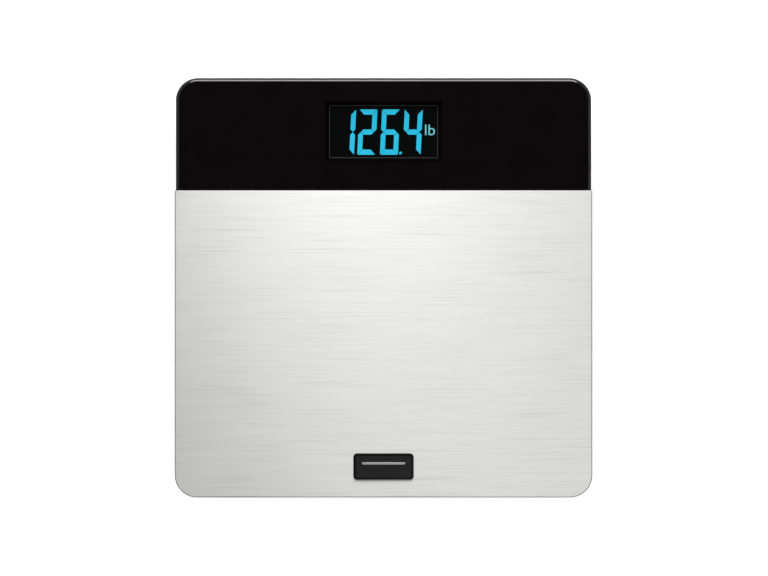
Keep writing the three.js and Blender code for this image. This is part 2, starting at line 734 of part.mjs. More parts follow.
// The two leads from the battery contacts to the board's wings.
const leftBatteryRoute = [
  [-30.2, 50.8, 15.8],
  [-37, 55, 15.8],
  [-43, 70, 15.6],
  [-47.5, 84, 14.8],
  [-48.4, 92, 13.7],
];
const rightBatteryRoute = [
  [30.2, 73.2, 15.8],
  [37, 75, 15.8],
  [43.5, 80, 15.4],
  [47.6, 86, 14.5],
  [48.4, 92, 13.7],
];
const leftBatteryLead = lead(leftBatteryRoute, BATTERY_LEAD_RADIUS, 12);
const rightBatteryLead = lead(rightBatteryRoute, BATTERY_LEAD_RADIUS, 10);
addPart('battery_lead_left', leftBatteryLead, finish(0x111111, 0.5));
addPart('battery_lead_right', rightBatteryLead, finish(0xa01818, 0.5));

// ---------------------------------------------------------------- feet

const BRACKET_BOTTOM = 7.2;
const BRACKET_LIP_TOP = 8.9;
const BRACKET_ROOF = 16.6;
const RIB_WIDTH = 4;

// The ring glued under the glass. Its lip keeps the cup in, and its square rib backs the cell.
function footBracket() {
  const bottom = BRACKET_BOTTOM;
  const lipTop = BRACKET_LIP_TOP;
  const roof = BRACKET_ROOF;
  const shellProfile = [
    [0, roof],
    [BRACKET_CAVITY, roof],
    [BRACKET_CAVITY, lipTop],
    [BRACKET_BORE, lipTop],
    [BRACKET_BORE, bottom],
    [BRACKET_RADIUS - 0.8, bottom],
    [BRACKET_RADIUS, bottom + 0.8],
    [BRACKET_RADIUS, roof - 1],
    [BRACKET_RADIUS + 1, roof],
    [BRACKET_FLANGE_RADIUS, roof],
    [BRACKET_FLANGE_RADIUS, HOUSING_TOP],
    [0, HOUSING_TOP],
  ];
  const cellTop = LOAD_CELL_BOTTOM + LOAD_CELL_THICKNESS;
  const half = LOAD_CELL_SIDE / 2;
  const inner = half - RIB_WIDTH;
  const rib = cut(
    slab(roundedOutline(-half, half, -half, half, LOAD_CELL_CORNER), cellTop + GLUE_GAP, roof + 0.2),
    block(-inner, inner, -inner, inner, cellTop, roof + 1),
  );
  const wayHalf = LEAD_RADIUS + 0.7;
  const wayBottom = LEAD_HEIGHT - LEAD_RADIUS - 0.4;
  const leadWay = block(-wayHalf, wayHalf, 6, BRACKET_RADIUS + 1, wayBottom, roof - 0.05);
  return cut(joined(turned(shellProfile), rib), leadWay);
}

// A stamped steel plate. A U-shaped slot frees the tongue that the foot's post bends.
function loadCell() {
  const half = LOAD_CELL_SIDE / 2;
  const shape = roundedOutline(-half, half, -half, half, LOAD_CELL_CORNER);
  const slot = 1.6;
  const tongue = 6.5;
  const near = -9;
  const far = 9.5;
  const hole = new THREE.Path([
    new THREE.Vector2(-tongue - slot, far),
    new THREE.Vector2(-tongue, far),
    new THREE.Vector2(-tongue, near + slot),
    new THREE.Vector2(tongue, near + slot),
    new THREE.Vector2(tongue, far),
    new THREE.Vector2(tongue + slot, far),
    new THREE.Vector2(tongue + slot, near),
    new THREE.Vector2(-tongue - slot, near),
  ]);
  shape.holes.push(hole);
  return slab(shape, LOAD_CELL_BOTTOM, LOAD_CELL_BOTTOM + LOAD_CELL_THICKNESS);
}

const CUP_CHAMFER = 1.2;
const CUP_WALL = 2;
const CUP_FLANGE_THICKNESS = 1.4;
const POST_RADIUS = 4;

// The plastic cup that carries the pad. Its flange sits above the bracket's lip, and its
// post reaches the underside of the cell's tongue.
function footCup() {
  const bottom = PAD_HEIGHT + GLUE_GAP;
  const flangeBottom = BRACKET_LIP_TOP + 0.2;
  const flangeTop = flangeBottom + CUP_FLANGE_THICKNESS;
  const postTop = LOAD_CELL_BOTTOM - GLUE_GAP;
  const inner = CUP_RADIUS - CUP_WALL;
  const profile = [
    [0, bottom],
    [CUP_RADIUS - CUP_CHAMFER, bottom],
    [CUP_RADIUS, bottom + CUP_CHAMFER],
    [CUP_RADIUS, flangeBottom],
    [CUP_FLANGE_RADIUS, flangeBottom],
    [CUP_FLANGE_RADIUS, flangeTop],
    [inner, flangeTop],
    [inner, bottom + CUP_WALL],
    [POST_RADIUS, bottom + CUP_WALL],
    [POST_RADIUS, postTop],
    [0, postTop],
  ];
  return turned(profile);
}

function footPad() {
  const chamfer = 0.5;
  return turned([
    [0, 0],
    [PAD_RADIUS - chamfer, 0],
    [PAD_RADIUS, chamfer],
    [PAD_RADIUS, PAD_HEIGHT],
    [0, PAD_HEIGHT],
  ]);
}

const feet = [
  { name: 'front_left', x: -FOOT_X, y: -FOOT_Y, turn: 0 },
  { name: 'front_right', x: FOOT_X, y: -FOOT_Y, turn: 0 },
  { name: 'rear_left', x: -FOOT_X, y: FOOT_Y, turn: Math.PI },
  { name: 'rear_right', x: FOOT_X, y: FOOT_Y, turn: Math.PI },
];
for (const foot of feet) {
  const corner = new THREE.Group();
  corner.position.set(foot.x, foot.y, 0);
  corner.rotation.z = foot.turn;
  scale.add(corner);
  addPart(`foot_bracket_${foot.name}`, footBracket(), blackPlastic(), corner);
  addPart(`load_cell_${foot.name}`, loadCell(), finish(0xb9bbb8, 0.4, 1), corner);
  addPart(`foot_cup_${foot.name}`, footCup(), blackPlastic(), corner);
  addPart(`foot_pad_${foot.name}`, footPad(), finish(0x161616, 0.9), corner);
}

// ---------------------------------------------------------------- leads and covers

const LANE = 1.4;
const LEAD_X = FOOT_X - LANE;

// A front foot's lead: back along the channel, across the branch, then up on to the board.
function frontLeadRoute(side) {
  const lane = BRANCH_Y - LANE;
  const z = LEAD_HEIGHT;
  return [
    [FOOT_X, -FOOT_Y + 9, z],
    [FOOT_X, -FOOT_Y + 30, z],
    [LEAD_X, -60, z],
    [LEAD_X, 0, z],
    [LEAD_X, 50, z],
    [LEAD_X - 0.1, lane - 3.4, z],
    [LEAD_X - 1.1, lane - 1, z],
    [LEAD_X - 3.6, lane, z],
    [LEAD_X - 10, lane, z],
    [85, lane, z],
    [60, lane, z],
    [55.6, lane + 0.6, z],
    [52.7, lane + 4, z],
    [52.2, 80, z - 0.4],
    [52.2, 88, z - 1.1],
    [52.2, 94, z - 1.3],
  ].map(([x, y, height]) => [side * x, y, height]);
}

// A rear foot's lead: forward to the branch, then beside the other one to the board.
function rearLeadRoute(side) {
  const lane = BRANCH_Y + LANE;
  const z = LEAD_HEIGHT;
  return [
    [FOOT_X, FOOT_Y - 9, z],
    [FOOT_X, FOOT_Y - 30, z],
    [LEAD_X - 0.1, lane + 3.8, z],
    [LEAD_X - 1.1, lane + 1.2, z],
    [LEAD_X - 3.6, lane, z],
    [LEAD_X - 10, lane, z],
    [85, lane, z],
    [60, lane, z],
    [57.4, lane + 0.6, z],
    [55.5, lane + 3.4, z],
    [55.2, 80, z - 0.4],
    [55.2, 88, z - 1.1],
    [55.2, 94, z - 1.3],
  ].map(([x, y, height]) => [side * x, y, height]);
}

// A T of square channel, open towards the glass, glued under it from foot to foot.
function wireCover(side) {
  const half = CHANNEL_HALF_WIDTH;
  const inner = half - CHANNEL_WALL;
  const reach = FOOT_Y - BRACKET_FLANGE_RADIUS - 0.4;
  const nearX = HOUSING_HALF_WIDTH + 0.4;
  const floor = CHANNEL_BOTTOM + CHANNEL_WALL;
  const x = side * FOOT_X;
  const run = block(x - half, x + half, -reach, reach, CHANNEL_BOTTOM, HOUSING_TOP);
  const branch = block(side * nearX, x, BRANCH_Y - half, BRANCH_Y + half, CHANNEL_BOTTOM, HOUSING_TOP);
  const runWay = block(x - inner, x + inner, -reach - 1, reach + 1, floor, HOUSING_TOP + 1);
  const open = HOUSING_TOP + 1;
  const branchWay = block(side * (nearX - 1), x, BRANCH_Y - inner, BRANCH_Y + inner, floor, open);
  return cut(joined(run, branch), runWay, branchWay);
}

for (const side of [-1, 1]) {
  const name = side < 0 ? 'left' : 'right';
  const wire = finish(0x8a1f1f, 0.5);
  addPart(`load_cell_lead_front_${name}`, lead(frontLeadRoute(side), LEAD_RADIUS, 44), wire);
  addPart(`load_cell_lead_rear_${name}`, lead(rearLeadRoute(side), LEAD_RADIUS, 28), wire.clone());
  addPart(`wire_cover_${name}`, wireCover(side), blackPlastic());
}

export default scale;
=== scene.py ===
# Digital bathroom scale: printed glass platform with a folded steel tread, four load cell
# feet, and a housing under the rear edge for the display, the circuit board and the cells.
import math

import bmesh
import bpy
from mathutils import Matrix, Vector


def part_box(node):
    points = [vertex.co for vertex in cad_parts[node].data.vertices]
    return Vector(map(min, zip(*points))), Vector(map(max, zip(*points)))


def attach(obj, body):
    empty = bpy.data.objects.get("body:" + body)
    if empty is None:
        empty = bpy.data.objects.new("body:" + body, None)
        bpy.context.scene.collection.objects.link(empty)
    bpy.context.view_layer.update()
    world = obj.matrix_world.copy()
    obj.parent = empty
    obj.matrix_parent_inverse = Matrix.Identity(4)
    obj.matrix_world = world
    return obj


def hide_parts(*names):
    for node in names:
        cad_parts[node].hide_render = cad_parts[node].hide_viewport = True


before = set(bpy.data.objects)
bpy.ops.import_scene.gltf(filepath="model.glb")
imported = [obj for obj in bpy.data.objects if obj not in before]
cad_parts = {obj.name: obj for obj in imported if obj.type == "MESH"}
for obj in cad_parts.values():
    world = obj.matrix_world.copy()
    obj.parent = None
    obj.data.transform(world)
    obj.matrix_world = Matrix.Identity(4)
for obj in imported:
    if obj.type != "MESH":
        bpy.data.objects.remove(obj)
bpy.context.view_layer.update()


# ------------------------------------------------------------------ camera
# The camera hangs straight above the tread with a long lens, so that the square
# platform keeps square corners and shows none of its sides.
MM = 0.001
CAMERA_HEIGHT = 2.0
CAMERA_PLACE = (0.33 * MM, -0.3 * MM)
FRAME_WIDTH = 551.3 * MM
SENSOR_WIDTH = 36

tread_low, tread_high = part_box("steel_tread")
camera_data = bpy.data.cameras.new("camera")
camera_data.sensor_width = SENSOR_WIDTH
camera_data.lens = SENSOR_WIDTH * CAMERA_HEIGHT / FRAME_WIDTH
camera = bpy.data.objects.new("camera", camera_data)
camera.location = (*CAMERA_PLACE, tread_high.z + CAMERA_HEIGHT)
bpy.context.scene.collection.objects.link(camera)
bpy.context.scene.camera = camera
bpy.context.scene.view_settings.view_transform = "Standard"


# ------------------------------------------------------------------ floor and light
# A pale studio floor that reads as plain white, and a soft white room with a dark patch
# straight above. A long low softbox stands behind the scale, three small ones hang over
# its rear edge, and two weak ones fill in from the right and the front.
FLOOR_GLOW = 0.75
FLOOR_HALF = 20.0
ROOM_LEVELS = (
    (0.0, 0.35),
    (0.55, 0.385),
    (0.93, 0.42),
    (0.972, 0.21),
    (0.992, 0.02),
)
LAMPS = (
    ("rear_strip", (0.0, 2.0, 0.95), 2.0, 0.7, 8.0),
    ("rear_left_box", (-0.1, 0.6, 0.7), 0.25, 0.3, 5.7),
    ("rear_middle_box", (0.03, 0.7, 1.0), 0.25, 0.4, 2.2),
    ("rear_right_box", (0.1, 0.9, 0.8), 0.3, 0.5, 3.0),
    ("right_fill", (0.25, -0.2, 1.4), 0.35, 0.5, 0.75),
    ("front_fill", (0.3, -0.6, 1.2), 0.5, 0.5, 1.1),
)


class Finish:
    """One material: its principled shader, and short ways to add nodes to it."""

    def __init__(self, name, colour, roughness, metallic=0.0):
        self.material = bpy.data.materials.new(name)
        self.material.use_nodes = True
        self.nodes = self.material.node_tree.nodes
        self.links = self.material.node_tree.links
        self.shader = self.nodes["Principled BSDF"]
        self.output = self.nodes["Material Output"]
        self.shader.inputs["Base Color"].default_value = (*colour, 1)
        self.shader.inputs["Roughness"].default_value = roughness
        self.shader.inputs["Metallic"].default_value = metallic
        self.coordinates = self.nodes.new("ShaderNodeTexCoord")

    def node(self, kind, **settings):
        made = self.nodes.new(kind)
        for key, value in settings.items():
            setattr(made, key, value)
        return made

    def link(self, start, end):
        self.links.new(start, end)

    def noise(self, scale, detail=2.0, stretch=(1, 1, 1), source="Object", roughness=0.5):
        """Noise with features 1/scale metres across, drawn out along the axes below one."""
        mapping = self.node("ShaderNodeMapping")
        mapping.inputs["Scale"].default_value = stretch
        self.link(self.coordinates.outputs[source], mapping.inputs["Vector"])
        texture = self.node("ShaderNodeTexNoise")
        texture.inputs["Scale"].default_value = scale
        texture.inputs["Detail"].default_value = detail
        texture.inputs["Roughness"].default_value = roughness
        self.link(mapping.outputs["Vector"], texture.inputs["Vector"])
        return texture.outputs["Fac"]

    def between(self, source, low, high, start=0.3, end=0.7):
        """Source from start to end, as a number from low to high."""
        spread = self.node("ShaderNodeMapRange")
        spread.inputs["From Min"].default_value = start
        spread.inputs["From Max"].default_value = end
        spread.inputs["To Min"].default_value = low
        spread.inputs["To Max"].default_value = high
        self.link(source, spread.inputs["Value"])
        return spread.outputs["Result"]

    def tint(self, source, first, second, start=0.3, end=0.7):
        """A colour from first to second, as source goes from start to end."""
        ramp = self.node("ShaderNodeValToRGB")
        ramp.color_ramp.elements[0].position = start
        ramp.color_ramp.elements[1].position = end
        ramp.color_ramp.elements[0].color = (*first, 1)
        ramp.color_ramp.elements[1].color = (*second, 1)
        self.link(source, ramp.inputs["Fac"])
        return ramp.outputs["Color"]

    def colour(self, source):
        self.link(source, self.shader.inputs["Base Color"])

    def roughness(self, source):
        self.link(source, self.shader.inputs["Roughness"])

    def bump(self, source, depth, strength):
        """Raises the surface by up to depth metres where source is one."""
        bump = self.node("ShaderNodeBump")
        bump.inputs["Distance"].default_value = depth
        bump.inputs["Strength"].default_value = strength
        self.link(source, bump.inputs["Height"])
        self.link(bump.outputs["Normal"], self.shader.inputs["Normal"])

    def mottle(self, first, second, scale, detail=2.0):
        """Colours the surface in soft patches from first to second."""
        self.colour(self.tint(self.noise(scale, detail), first, second))

    def polish(self, low, high, scale, detail=2.0):
        """Varies the roughness in soft patches from low to high."""
        self.roughness(self.between(self.noise(scale, detail), low, high))

    def grain(self, depth, strength, scale, detail=2.0):
        """Raises a grain of up to depth metres all over the surface."""
        self.bump(self.noise(scale, detail), depth, strength)


floor_bm = bmesh.new()
bmesh.ops.create_grid(floor_bm, x_segments=1, y_segments=1, size=FLOOR_HALF)
floor_mesh = bpy.data.meshes.new("floor")
floor_bm.to_mesh(floor_mesh)
floor_bm.free()
floor = bpy.data.objects.new("floor", floor_mesh)
bpy.context.scene.collection.objects.link(floor)

floor_finish = Finish("floor_paper", (0.8, 0.8, 0.8), 0.9)
floor_finish.shader.inputs["Emission Color"].default_value = (1, 1, 1, 1)
floor_finish.shader.inputs["Emission Strength"].default_value = FLOOR_GLOW
see_through = floor_finish.node("ShaderNodeBsdfTransparent")
side_seen = floor_finish.node("ShaderNodeNewGeometry")
either_side = floor_finish.node("ShaderNodeMixShader")
floor_finish.link(side_seen.outputs["Backfacing"], either_side.inputs["Fac"])
floor_finish.link(floor_finish.shader.outputs["BSDF"], either_side.inputs[1])
floor_finish.link(see_through.outputs["BSDF"], either_side.inputs[2])
floor_finish.link(either_side.outputs["Shader"], floor_finish.output.inputs["Surface"])
floor_finish.mottle((0.79, 0.79, 0.79), (0.81, 0.81, 0.81), 2.0)
floor.data.materials.append(floor_finish.material)

world = bpy.data.worlds.new("studio")
bpy.context.scene.world = world
world.use_nodes = True
world_nodes = world.node_tree.nodes
world_links = world.node_tree.links
room = world_nodes["Background"]
direction = world_nodes.new("ShaderNodeTexCoord")
height = world_nodes.new("ShaderNodeSeparateXYZ")
shade = world_nodes.new("ShaderNodeValToRGB")
while len(shade.color_ramp.elements) < len(ROOM_LEVELS):
    shade.color_ramp.elements.new(0.5)
for element, (position, level) in zip(shade.color_ramp.elements, ROOM_LEVELS):
    element.position = position
    element.color = (level, level, level, 1)
world_links.new(direction.outputs["Generated"], height.inputs["Vector"])
world_links.new(height.outputs["Z"], shade.inputs["Fac"])
world_links.new(shade.outputs["Color"], room.inputs["Color"])
backdrop = world_nodes.new("ShaderNodeBackground")
backdrop.inputs["Color"].default_value = (1, 1, 1, 1)
ray_kind = world_nodes.new("ShaderNodeLightPath")
room_or_backdrop = world_nodes.new("ShaderNodeMixShader")
world_links.new(ray_kind.outputs["Is Camera Ray"], room_or_backdrop.inputs["Fac"])
world_links.new(room.outputs["Background"], room_or_backdrop.inputs[1])
world_links.new(backdrop.outputs["Background"], room_or_backdrop.inputs[2])
world_links.new(room_or_backdrop.outputs["Shader"], world_nodes["World Output"].inputs["Surface"])


def softbox(name, place, width, depth, radiance):
    """A rectangular lamp that faces the middle of the floor and glows evenly."""
    data = bpy.data.lights.new(name, "AREA")
    data.shape = "RECTANGLE"
    data.size = width
    data.size_y = depth
    data.energy = radiance * math.pi * width * depth
    lamp = bpy.data.objects.new(name, data)
    lamp.location = place
    lamp.rotation_euler = lamp.location.to_track_quat("Z", "Y").to_euler()
    lamp.visible_camera = False
    bpy.context.scene.collection.objects.link(lamp)


for lamp_values in LAMPS:
    softbox(*lamp_values)


# ------------------------------------------------------------------ steel tread
# Half a millimetre of stainless sheet, brushed from side to side, folded down over the
# left, right and front of the glass and cut straight across behind the standing area.
# The bend and the upright skirt take darker copies of the same brushed steel, as painted shade.
FOLD_RADIUS = 0.8 * MM
TREAD_CORNER = 16 * MM
SHEET = 0.5 * MM
SPARE_BEHIND = 4 * MM
FLAT_RIM = 0.5 * MM
FOLD_STEPS = 6
FLAT_ABOVE = 0.985
UPRIGHT_BELOW = 0.05
CORNER_STEPS = 20


def rounded_face(bm, low_x, high_x, low_y, high_y, z, front_radius, rear_radius, steps=CORNER_STEPS):
    """A flat face with rounded corners, facing up."""
    made = bmesh.ops.create_grid(bm, x_segments=1, y_segments=1, size=0.5)["verts"]
    bmesh.ops.scale(bm, vec=(high_x - low_x, high_y - low_y, 1), verts=made)
    bmesh.ops.translate(bm, vec=((low_x + high_x) / 2, (low_y + high_y) / 2, z), verts=made)
    middle = (low_y + high_y) / 2
    face = made[0].link_faces[0]
    rear = [v for v in made if v.co.y > middle]
    front = [v for v in made if v.co.y < middle]
    for corners, radius in ((front, front_radius), (rear, rear_radius)):
        if radius > 0:
            bent = bmesh.ops.bevel(
                bm, geom=corners, offset=radius, affect="VERTICES", segments=steps, profile=0.5,
                material=-1,
            )
            face = bent["verts"][0].link_faces[0]
    return face


def raise_face(bm, face, height):
    """Draws the face out by height along Z, and gives the far face back."""
    drawn = bmesh.ops.extrude_face_region(bm, geom=[face])["geom"]
    moved = [v for v in drawn if isinstance(v, bmesh.types.BMVert)]
    bmesh.ops.translate(bm, vec=(0, 0, height), verts=moved)
    return [f for f in drawn if isinstance(f, bmesh.types.BMFace)][0]


def step_in(bm, face, *steps):
    """Shrinks the face by each step's first value while moving it out by the second."""
    for inward, outward in steps:
        bmesh.ops.inset_region(
            bm, faces=[face], thickness=inward, depth=outward, use_boundary=True, use_even_offset=True,
        )


def quarter_round(radius, steps, start=0, end=90):
    """The (inward, outward) steps of an arc from a wall, at 0 degrees, to a top, at 90."""
    angles = [math.radians(start + (end - start) * i / steps) for i in range(steps + 1)]
    return [
        (radius * (math.cos(a) - math.cos(b)), radius * (math.sin(b) - math.sin(a)))
        for a, b in zip(angles, angles[1:])
    ]


def closed(bm):
    """Points every face of the shape outwards, and gives it back."""
    bmesh.ops.recalc_face_normals(bm, faces=bm.faces)
    return bm


def make_piece(name, bm, body, slot, *nodes, sharp=35):
    """Turns the shape into a piece that moves with body and stands for the CAD nodes."""
    mesh = bpy.data.meshes.new(name)
    bm.to_mesh(mesh)
    bm.free()
    mesh.shade_smooth()
    mesh.set_sharp_from_angle(angle=math.radians(sharp))
    piece = bpy.data.objects.new(name, mesh)
    bpy.context.scene.collection.objects.link(piece)
    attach(piece, body)
    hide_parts(*nodes)
    return piece


def coat(piece, *finishes):
    """Gives the piece its finishes, in the order in which its faces number them."""
    for finish in finishes:
        piece.data.materials.append(finish.material)


tread_bm = bmesh.new()
tread_blank = rounded_face(
    tread_bm, tread_low.x, tread_high.x, tread_low.y, tread_high.y + SPARE_BEHIND, tread_low.z,
    TREAD_CORNER, 0,
)
tread_top = raise_face(tread_bm, tread_blank, tread_high.z - FOLD_RADIUS - tread_low.z)
step_in(tread_bm, tread_top, *quarter_round(FOLD_RADIUS, FOLD_STEPS), (FLAT_RIM, 0))
closed(tread_bm)
underneath = [f for f in tread_bm.faces if f.normal.z < -0.9]
bmesh.ops.delete(tread_bm, geom=underneath, context="FACES")
bmesh.ops.bisect_plane(
    tread_bm, geom=tread_bm.verts[:] + tread_bm.edges[:] + tread_bm.faces[:],
    plane_co=(0, tread_high.y, 0), plane_no=(0, 1, 0), clear_outer=True,
)
tread_unrolled = tread_bm.loops.layers.uv.new("unrolled")
tread_bm.normal_update()
for tread_face in tread_bm.faces:
    for corner in tread_face.loops:
        drop = tread_high.z - corner.vert.co.z
        outwards = corner.vert.normal.copy()
        outwards.z = 0
        if outwards.length > 0.05:
            outwards.normalize()
        corner[tread_unrolled].uv = (
            corner.vert.co.x + outwards.x * drop, corner.vert.co.y + outwards.y * drop,
        )
# Bend faces and upright skirt faces are sorted out here to take the darker steel copies: painted shade.
for tread_face in tread_bm.faces:
    if tread_face.normal.z < UPRIGHT_BELOW:
        tread_face.material_index = 2
    elif tread_face.normal.z < FLAT_ABOVE:
        tread_face.material_index = 1
bmesh.ops.solidify(tread_bm, geom=tread_bm.faces[:], thickness=SHEET)
tread = make_piece("tread_sheet", tread_bm, "platform", "brushed_steel", "steel_tread")


def brushed(name, dark, light, polish=(0.39, 0.45)):
    """Stainless sheet with long fine scratches from side to side, as streaks of tone."""
    made = Finish(name, light, 0.42, 1.0)
    made.shader.inputs["Anisotropic"].default_value = 0.88
    made.shader.inputs["Anisotropic Rotation"].default_value = 0.25
    grain_way = made.node("ShaderNodeTangent", direction_type="UV_MAP", uv_map="unrolled")
    made.link(grain_way.outputs["Tangent"], made.shader.inputs["Tangent"])
    fine_streaks = made.noise(220, 3.0, (0.06, 6, 1), "UV", 0.6)
    broad_streaks = made.noise(220, 3.0, (0.07, 3.2, 1), "UV", 0.6)
    both_streaks = made.node("ShaderNodeMath", operation="ADD")
    made.link(fine_streaks, both_streaks.inputs[0])
    made.link(broad_streaks, both_streaks.inputs[1])
    made.colour(made.tint(both_streaks.outputs["Value"], dark, light, 0.35 * 2, 0.65 * 2))
    made.roughness(made.between(both_streaks.outputs["Value"], *polish, 0.7, 1.3))
    return made


# The second and third finishes are the same steel with darker tones: painted shade on the bend and on the
# skirt.
coat(
    tread,
    brushed("brushed_tread", (0.62, 0.625, 0.615), (0.71, 0.715, 0.705)),
    brushed("brushed_fold_painted_shade", (0.17, 0.172, 0.17), (0.23, 0.232, 0.228), (0.3, 0.4)),
    brushed("brushed_side_painted_shade", (0.40, 0.403, 0.40), (0.50, 0.503, 0.498), (0.3, 0.4)),
)


# ------------------------------------------------------------------ glass platform
# Six millimetres of tempered glass. The edge is ground to a round nose with a flat
# bevel above it, then polished. Clear over the window, and black where the print backs it.
glass_low, glass_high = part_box("glass_platform")
BEVEL_WIDTH = 0.95 * MM
BEVEL_TILT = 32
NOSE_RADIUS = 3.1 * MM
ARRIS = 0.6 * MM
FRONT_CORNER = 15.4 * MM
REAR_CORNER = 16 * MM
BEVEL_FACES = (0.8, 0.9)
CLEAR_HALF_WIDTH = 42 * MM
CLEAR_FRONT = 90 * MM
CLEAR_REAR = 134 * MM


def outline(low, high, inset=0.0):
    """The left, right, front and rear of a box, moved inwards by inset."""
    return low[0] + inset, high[0] - inset, low[1] + inset, high[1] - inset


bevel_drop = BEVEL_WIDTH * math.tan(math.radians(BEVEL_TILT))
nose_rise = NOSE_RADIUS * math.cos(math.radians(BEVEL_TILT))
glass_bm = bmesh.new()
glass_blank = rounded_face(
    glass_bm, *outline(glass_low, glass_high), glass_low.z + ARRIS, FRONT_CORNER, REAR_CORNER,
)
glass_top = raise_face(glass_bm, glass_blank, glass_high.z - bevel_drop - nose_rise - glass_low.z - ARRIS)
step_in(
    glass_bm, glass_top, *quarter_round(NOSE_RADIUS, 6, 0, 90 - BEVEL_TILT), (BEVEL_WIDTH, bevel_drop),
    (0.1 * MM, 0),
)
closed(glass_bm)
glass_under = min(glass_bm.faces, key=lambda f: f.calc_center_median().z)
step_in(glass_bm, glass_under, *quarter_round(ARRIS, 3), (0.1 * MM, 0))
for line_at, line_across in (
    ((-CLEAR_HALF_WIDTH, 0, 0), (1, 0, 0)), ((CLEAR_HALF_WIDTH, 0, 0), (1, 0, 0)),
    ((0, CLEAR_FRONT, 0), (0, 1, 0)), ((0, CLEAR_REAR, 0), (0, 1, 0)),
):
    everything = glass_bm.verts[:] + glass_bm.edges[:] + glass_bm.faces[:]
    bmesh.ops.bisect_plane(glass_bm, geom=everything, plane_co=line_at, plane_no=line_across)
for glass_face in glass_bm.faces:
    centre = glass_face.calc_center_median()
    if abs(glass_face.normal.z) < 0.99:
        glass_face.material_index = 2 if BEVEL_FACES[0] < glass_face.normal.z < BEVEL_FACES[1] else 1
    elif abs(centre.x) > CLEAR_HALF_WIDTH or not CLEAR_FRONT < centre.y < CLEAR_REAR:
        glass_face.material_index = 3
glass = make_piece("platform_glass", glass_bm, "platform", "tempered_glass", "glass_platform", sharp=25)

pane = Finish("clear_glass", (1, 1, 1), 0.0)
pane.nodes.remove(pane.shader)
clear = pane.node("ShaderNodeBsdfTransparent")
clear.inputs["Color"].default_value = (0.93, 0.95, 0.94, 1)
mirror = pane.node("ShaderNodeBsdfAnisotropic")
pane.link(pane.between(pane.noise(45, 3.0), 0.005, 0.03), mirror.inputs["Roughness"])
facing = pane.node("ShaderNodeFresnel")
facing.inputs["IOR"].default_value = 1.5
inside = pane.node("ShaderNodeNewGeometry")
outside = pane.node("ShaderNodeMath", operation="SUBTRACT")
outside.inputs[0].default_value = 1.0
gloss = pane.node("ShaderNodeMath", operation="MULTIPLY")
pane.link(inside.outputs["Backfacing"], outside.inputs[1])
pane.link(facing.outputs["Fac"], gloss.inputs[0])
pane.link(outside.outputs["Value"], gloss.inputs[1])
see_in = pane.node("ShaderNodeMixShader")
pane.link(gloss.outputs["Value"], see_in.inputs["Fac"])
pane.link(clear.outputs["BSDF"], see_in.inputs[1])
pane.link(mirror.outputs["BSDF"], see_in.inputs[2])
pane.link(see_in.outputs["Shader"], pane.output.inputs["Surface"])


def ground_edge(name, deep, shallow, polish):
    """Ground and polished glass edge, green-black in its depth."""
    made = Finish(name, deep, polish[0])
    made.mottle(deep, shallow, 300)
    made.polish(*polish, 1500, 3.0)
    return made


nose_finish = ground_edge("ground_nose", (0.045, 0.05, 0.048), (0.06, 0.066, 0.063), (0.1, 0.2))
nose_finish.shader.inputs["Metallic"].default_value = 1.0
nose_finish.shader.inputs["Specular Tint"].default_value = (0.12, 0.13, 0.125, 1)
bevel_finish = ground_edge("ground_bevel", (0.003, 0.004, 0.0037), (0.006, 0.0075, 0.007), (0.08, 0.2))
bevel_finish.shader.inputs["Specular IOR Level"].default_value = 0.58
backed = Finish("backed_glass", (0.004, 0.003, 0.0033), 0.02)
backed.mottle((0.0031, 0.0022, 0.0025), (0.004, 0.003, 0.0033), 60, 4.0)
backed.polish(0.01, 0.04, 45, 3.0)
coat(glass, pane, nose_finish, bevel_finish, backed)


# ------------------------------------------------------------------ printed layer
# Black enamel fired on the underside of the glass, left out only at the display window,
# with a slightly uneven coat.
print_low, print_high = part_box("black_print")
WINDOW_SIZE = (78.2 * MM, 38.0 * MM)
WINDOW_Y = 112.3 * MM
WINDOW_CORNER = 1.0 * MM
PRINT_FRONT_CORNER = 15.1 * MM
PRINT_REAR_CORNER = 15.7 * MM
PAST = 1 * MM


def add_slab(bm, low_x, high_x, low_y, high_y, low_z, high_z, radius=0.0, steps=6):
    """Adds a slab with rounded upright corners to a shape that may have others in it."""
    face = rounded_face(bm, low_x, high_x, low_y, high_y, low_z, radius, radius, steps)
    raise_face(bm, face, high_z - low_z)


def slab(*sides_and_corners):
    """One slab as a shape of its own, from the values that add_slab takes."""
    bm = bmesh.new()
    add_slab(bm, *sides_and_corners)
    return closed(bm)


def baked(source):
    """The mesh that the object has once its modifiers are done."""
    return bpy.data.meshes.new_from_object(source.evaluated_get(bpy.context.evaluated_depsgraph_get()))


def bake(piece, sharp):
    """Makes what the piece's modifiers do a part of its mesh."""
    shaped = baked(piece)
    piece.modifiers.clear()
    blank = piece.data
    piece.data = shaped
    bpy.data.meshes.remove(blank)
    shaped.materials.clear()
    shaped.shade_smooth()
    shaped.set_sharp_from_angle(angle=math.radians(sharp))


def carve(piece, tool_bm, operation="DIFFERENCE"):
    """Cuts the tool's shape out of the piece, or joins it on."""
    tool_mesh = bpy.data.meshes.new("tool")
    tool_bm.to_mesh(tool_mesh)
    tool_bm.free()
    tool = bpy.data.objects.new("tool", tool_mesh)
    bpy.context.scene.collection.objects.link(tool)
    boolean = piece.modifiers.new("carve", "BOOLEAN")
    boolean.operation = operation
    boolean.object = tool
    boolean.solver = "EXACT"
    boolean.use_self = True
    bake(piece, 35)
    bpy.data.objects.remove(tool)
    bpy.data.meshes.remove(tool_mesh)


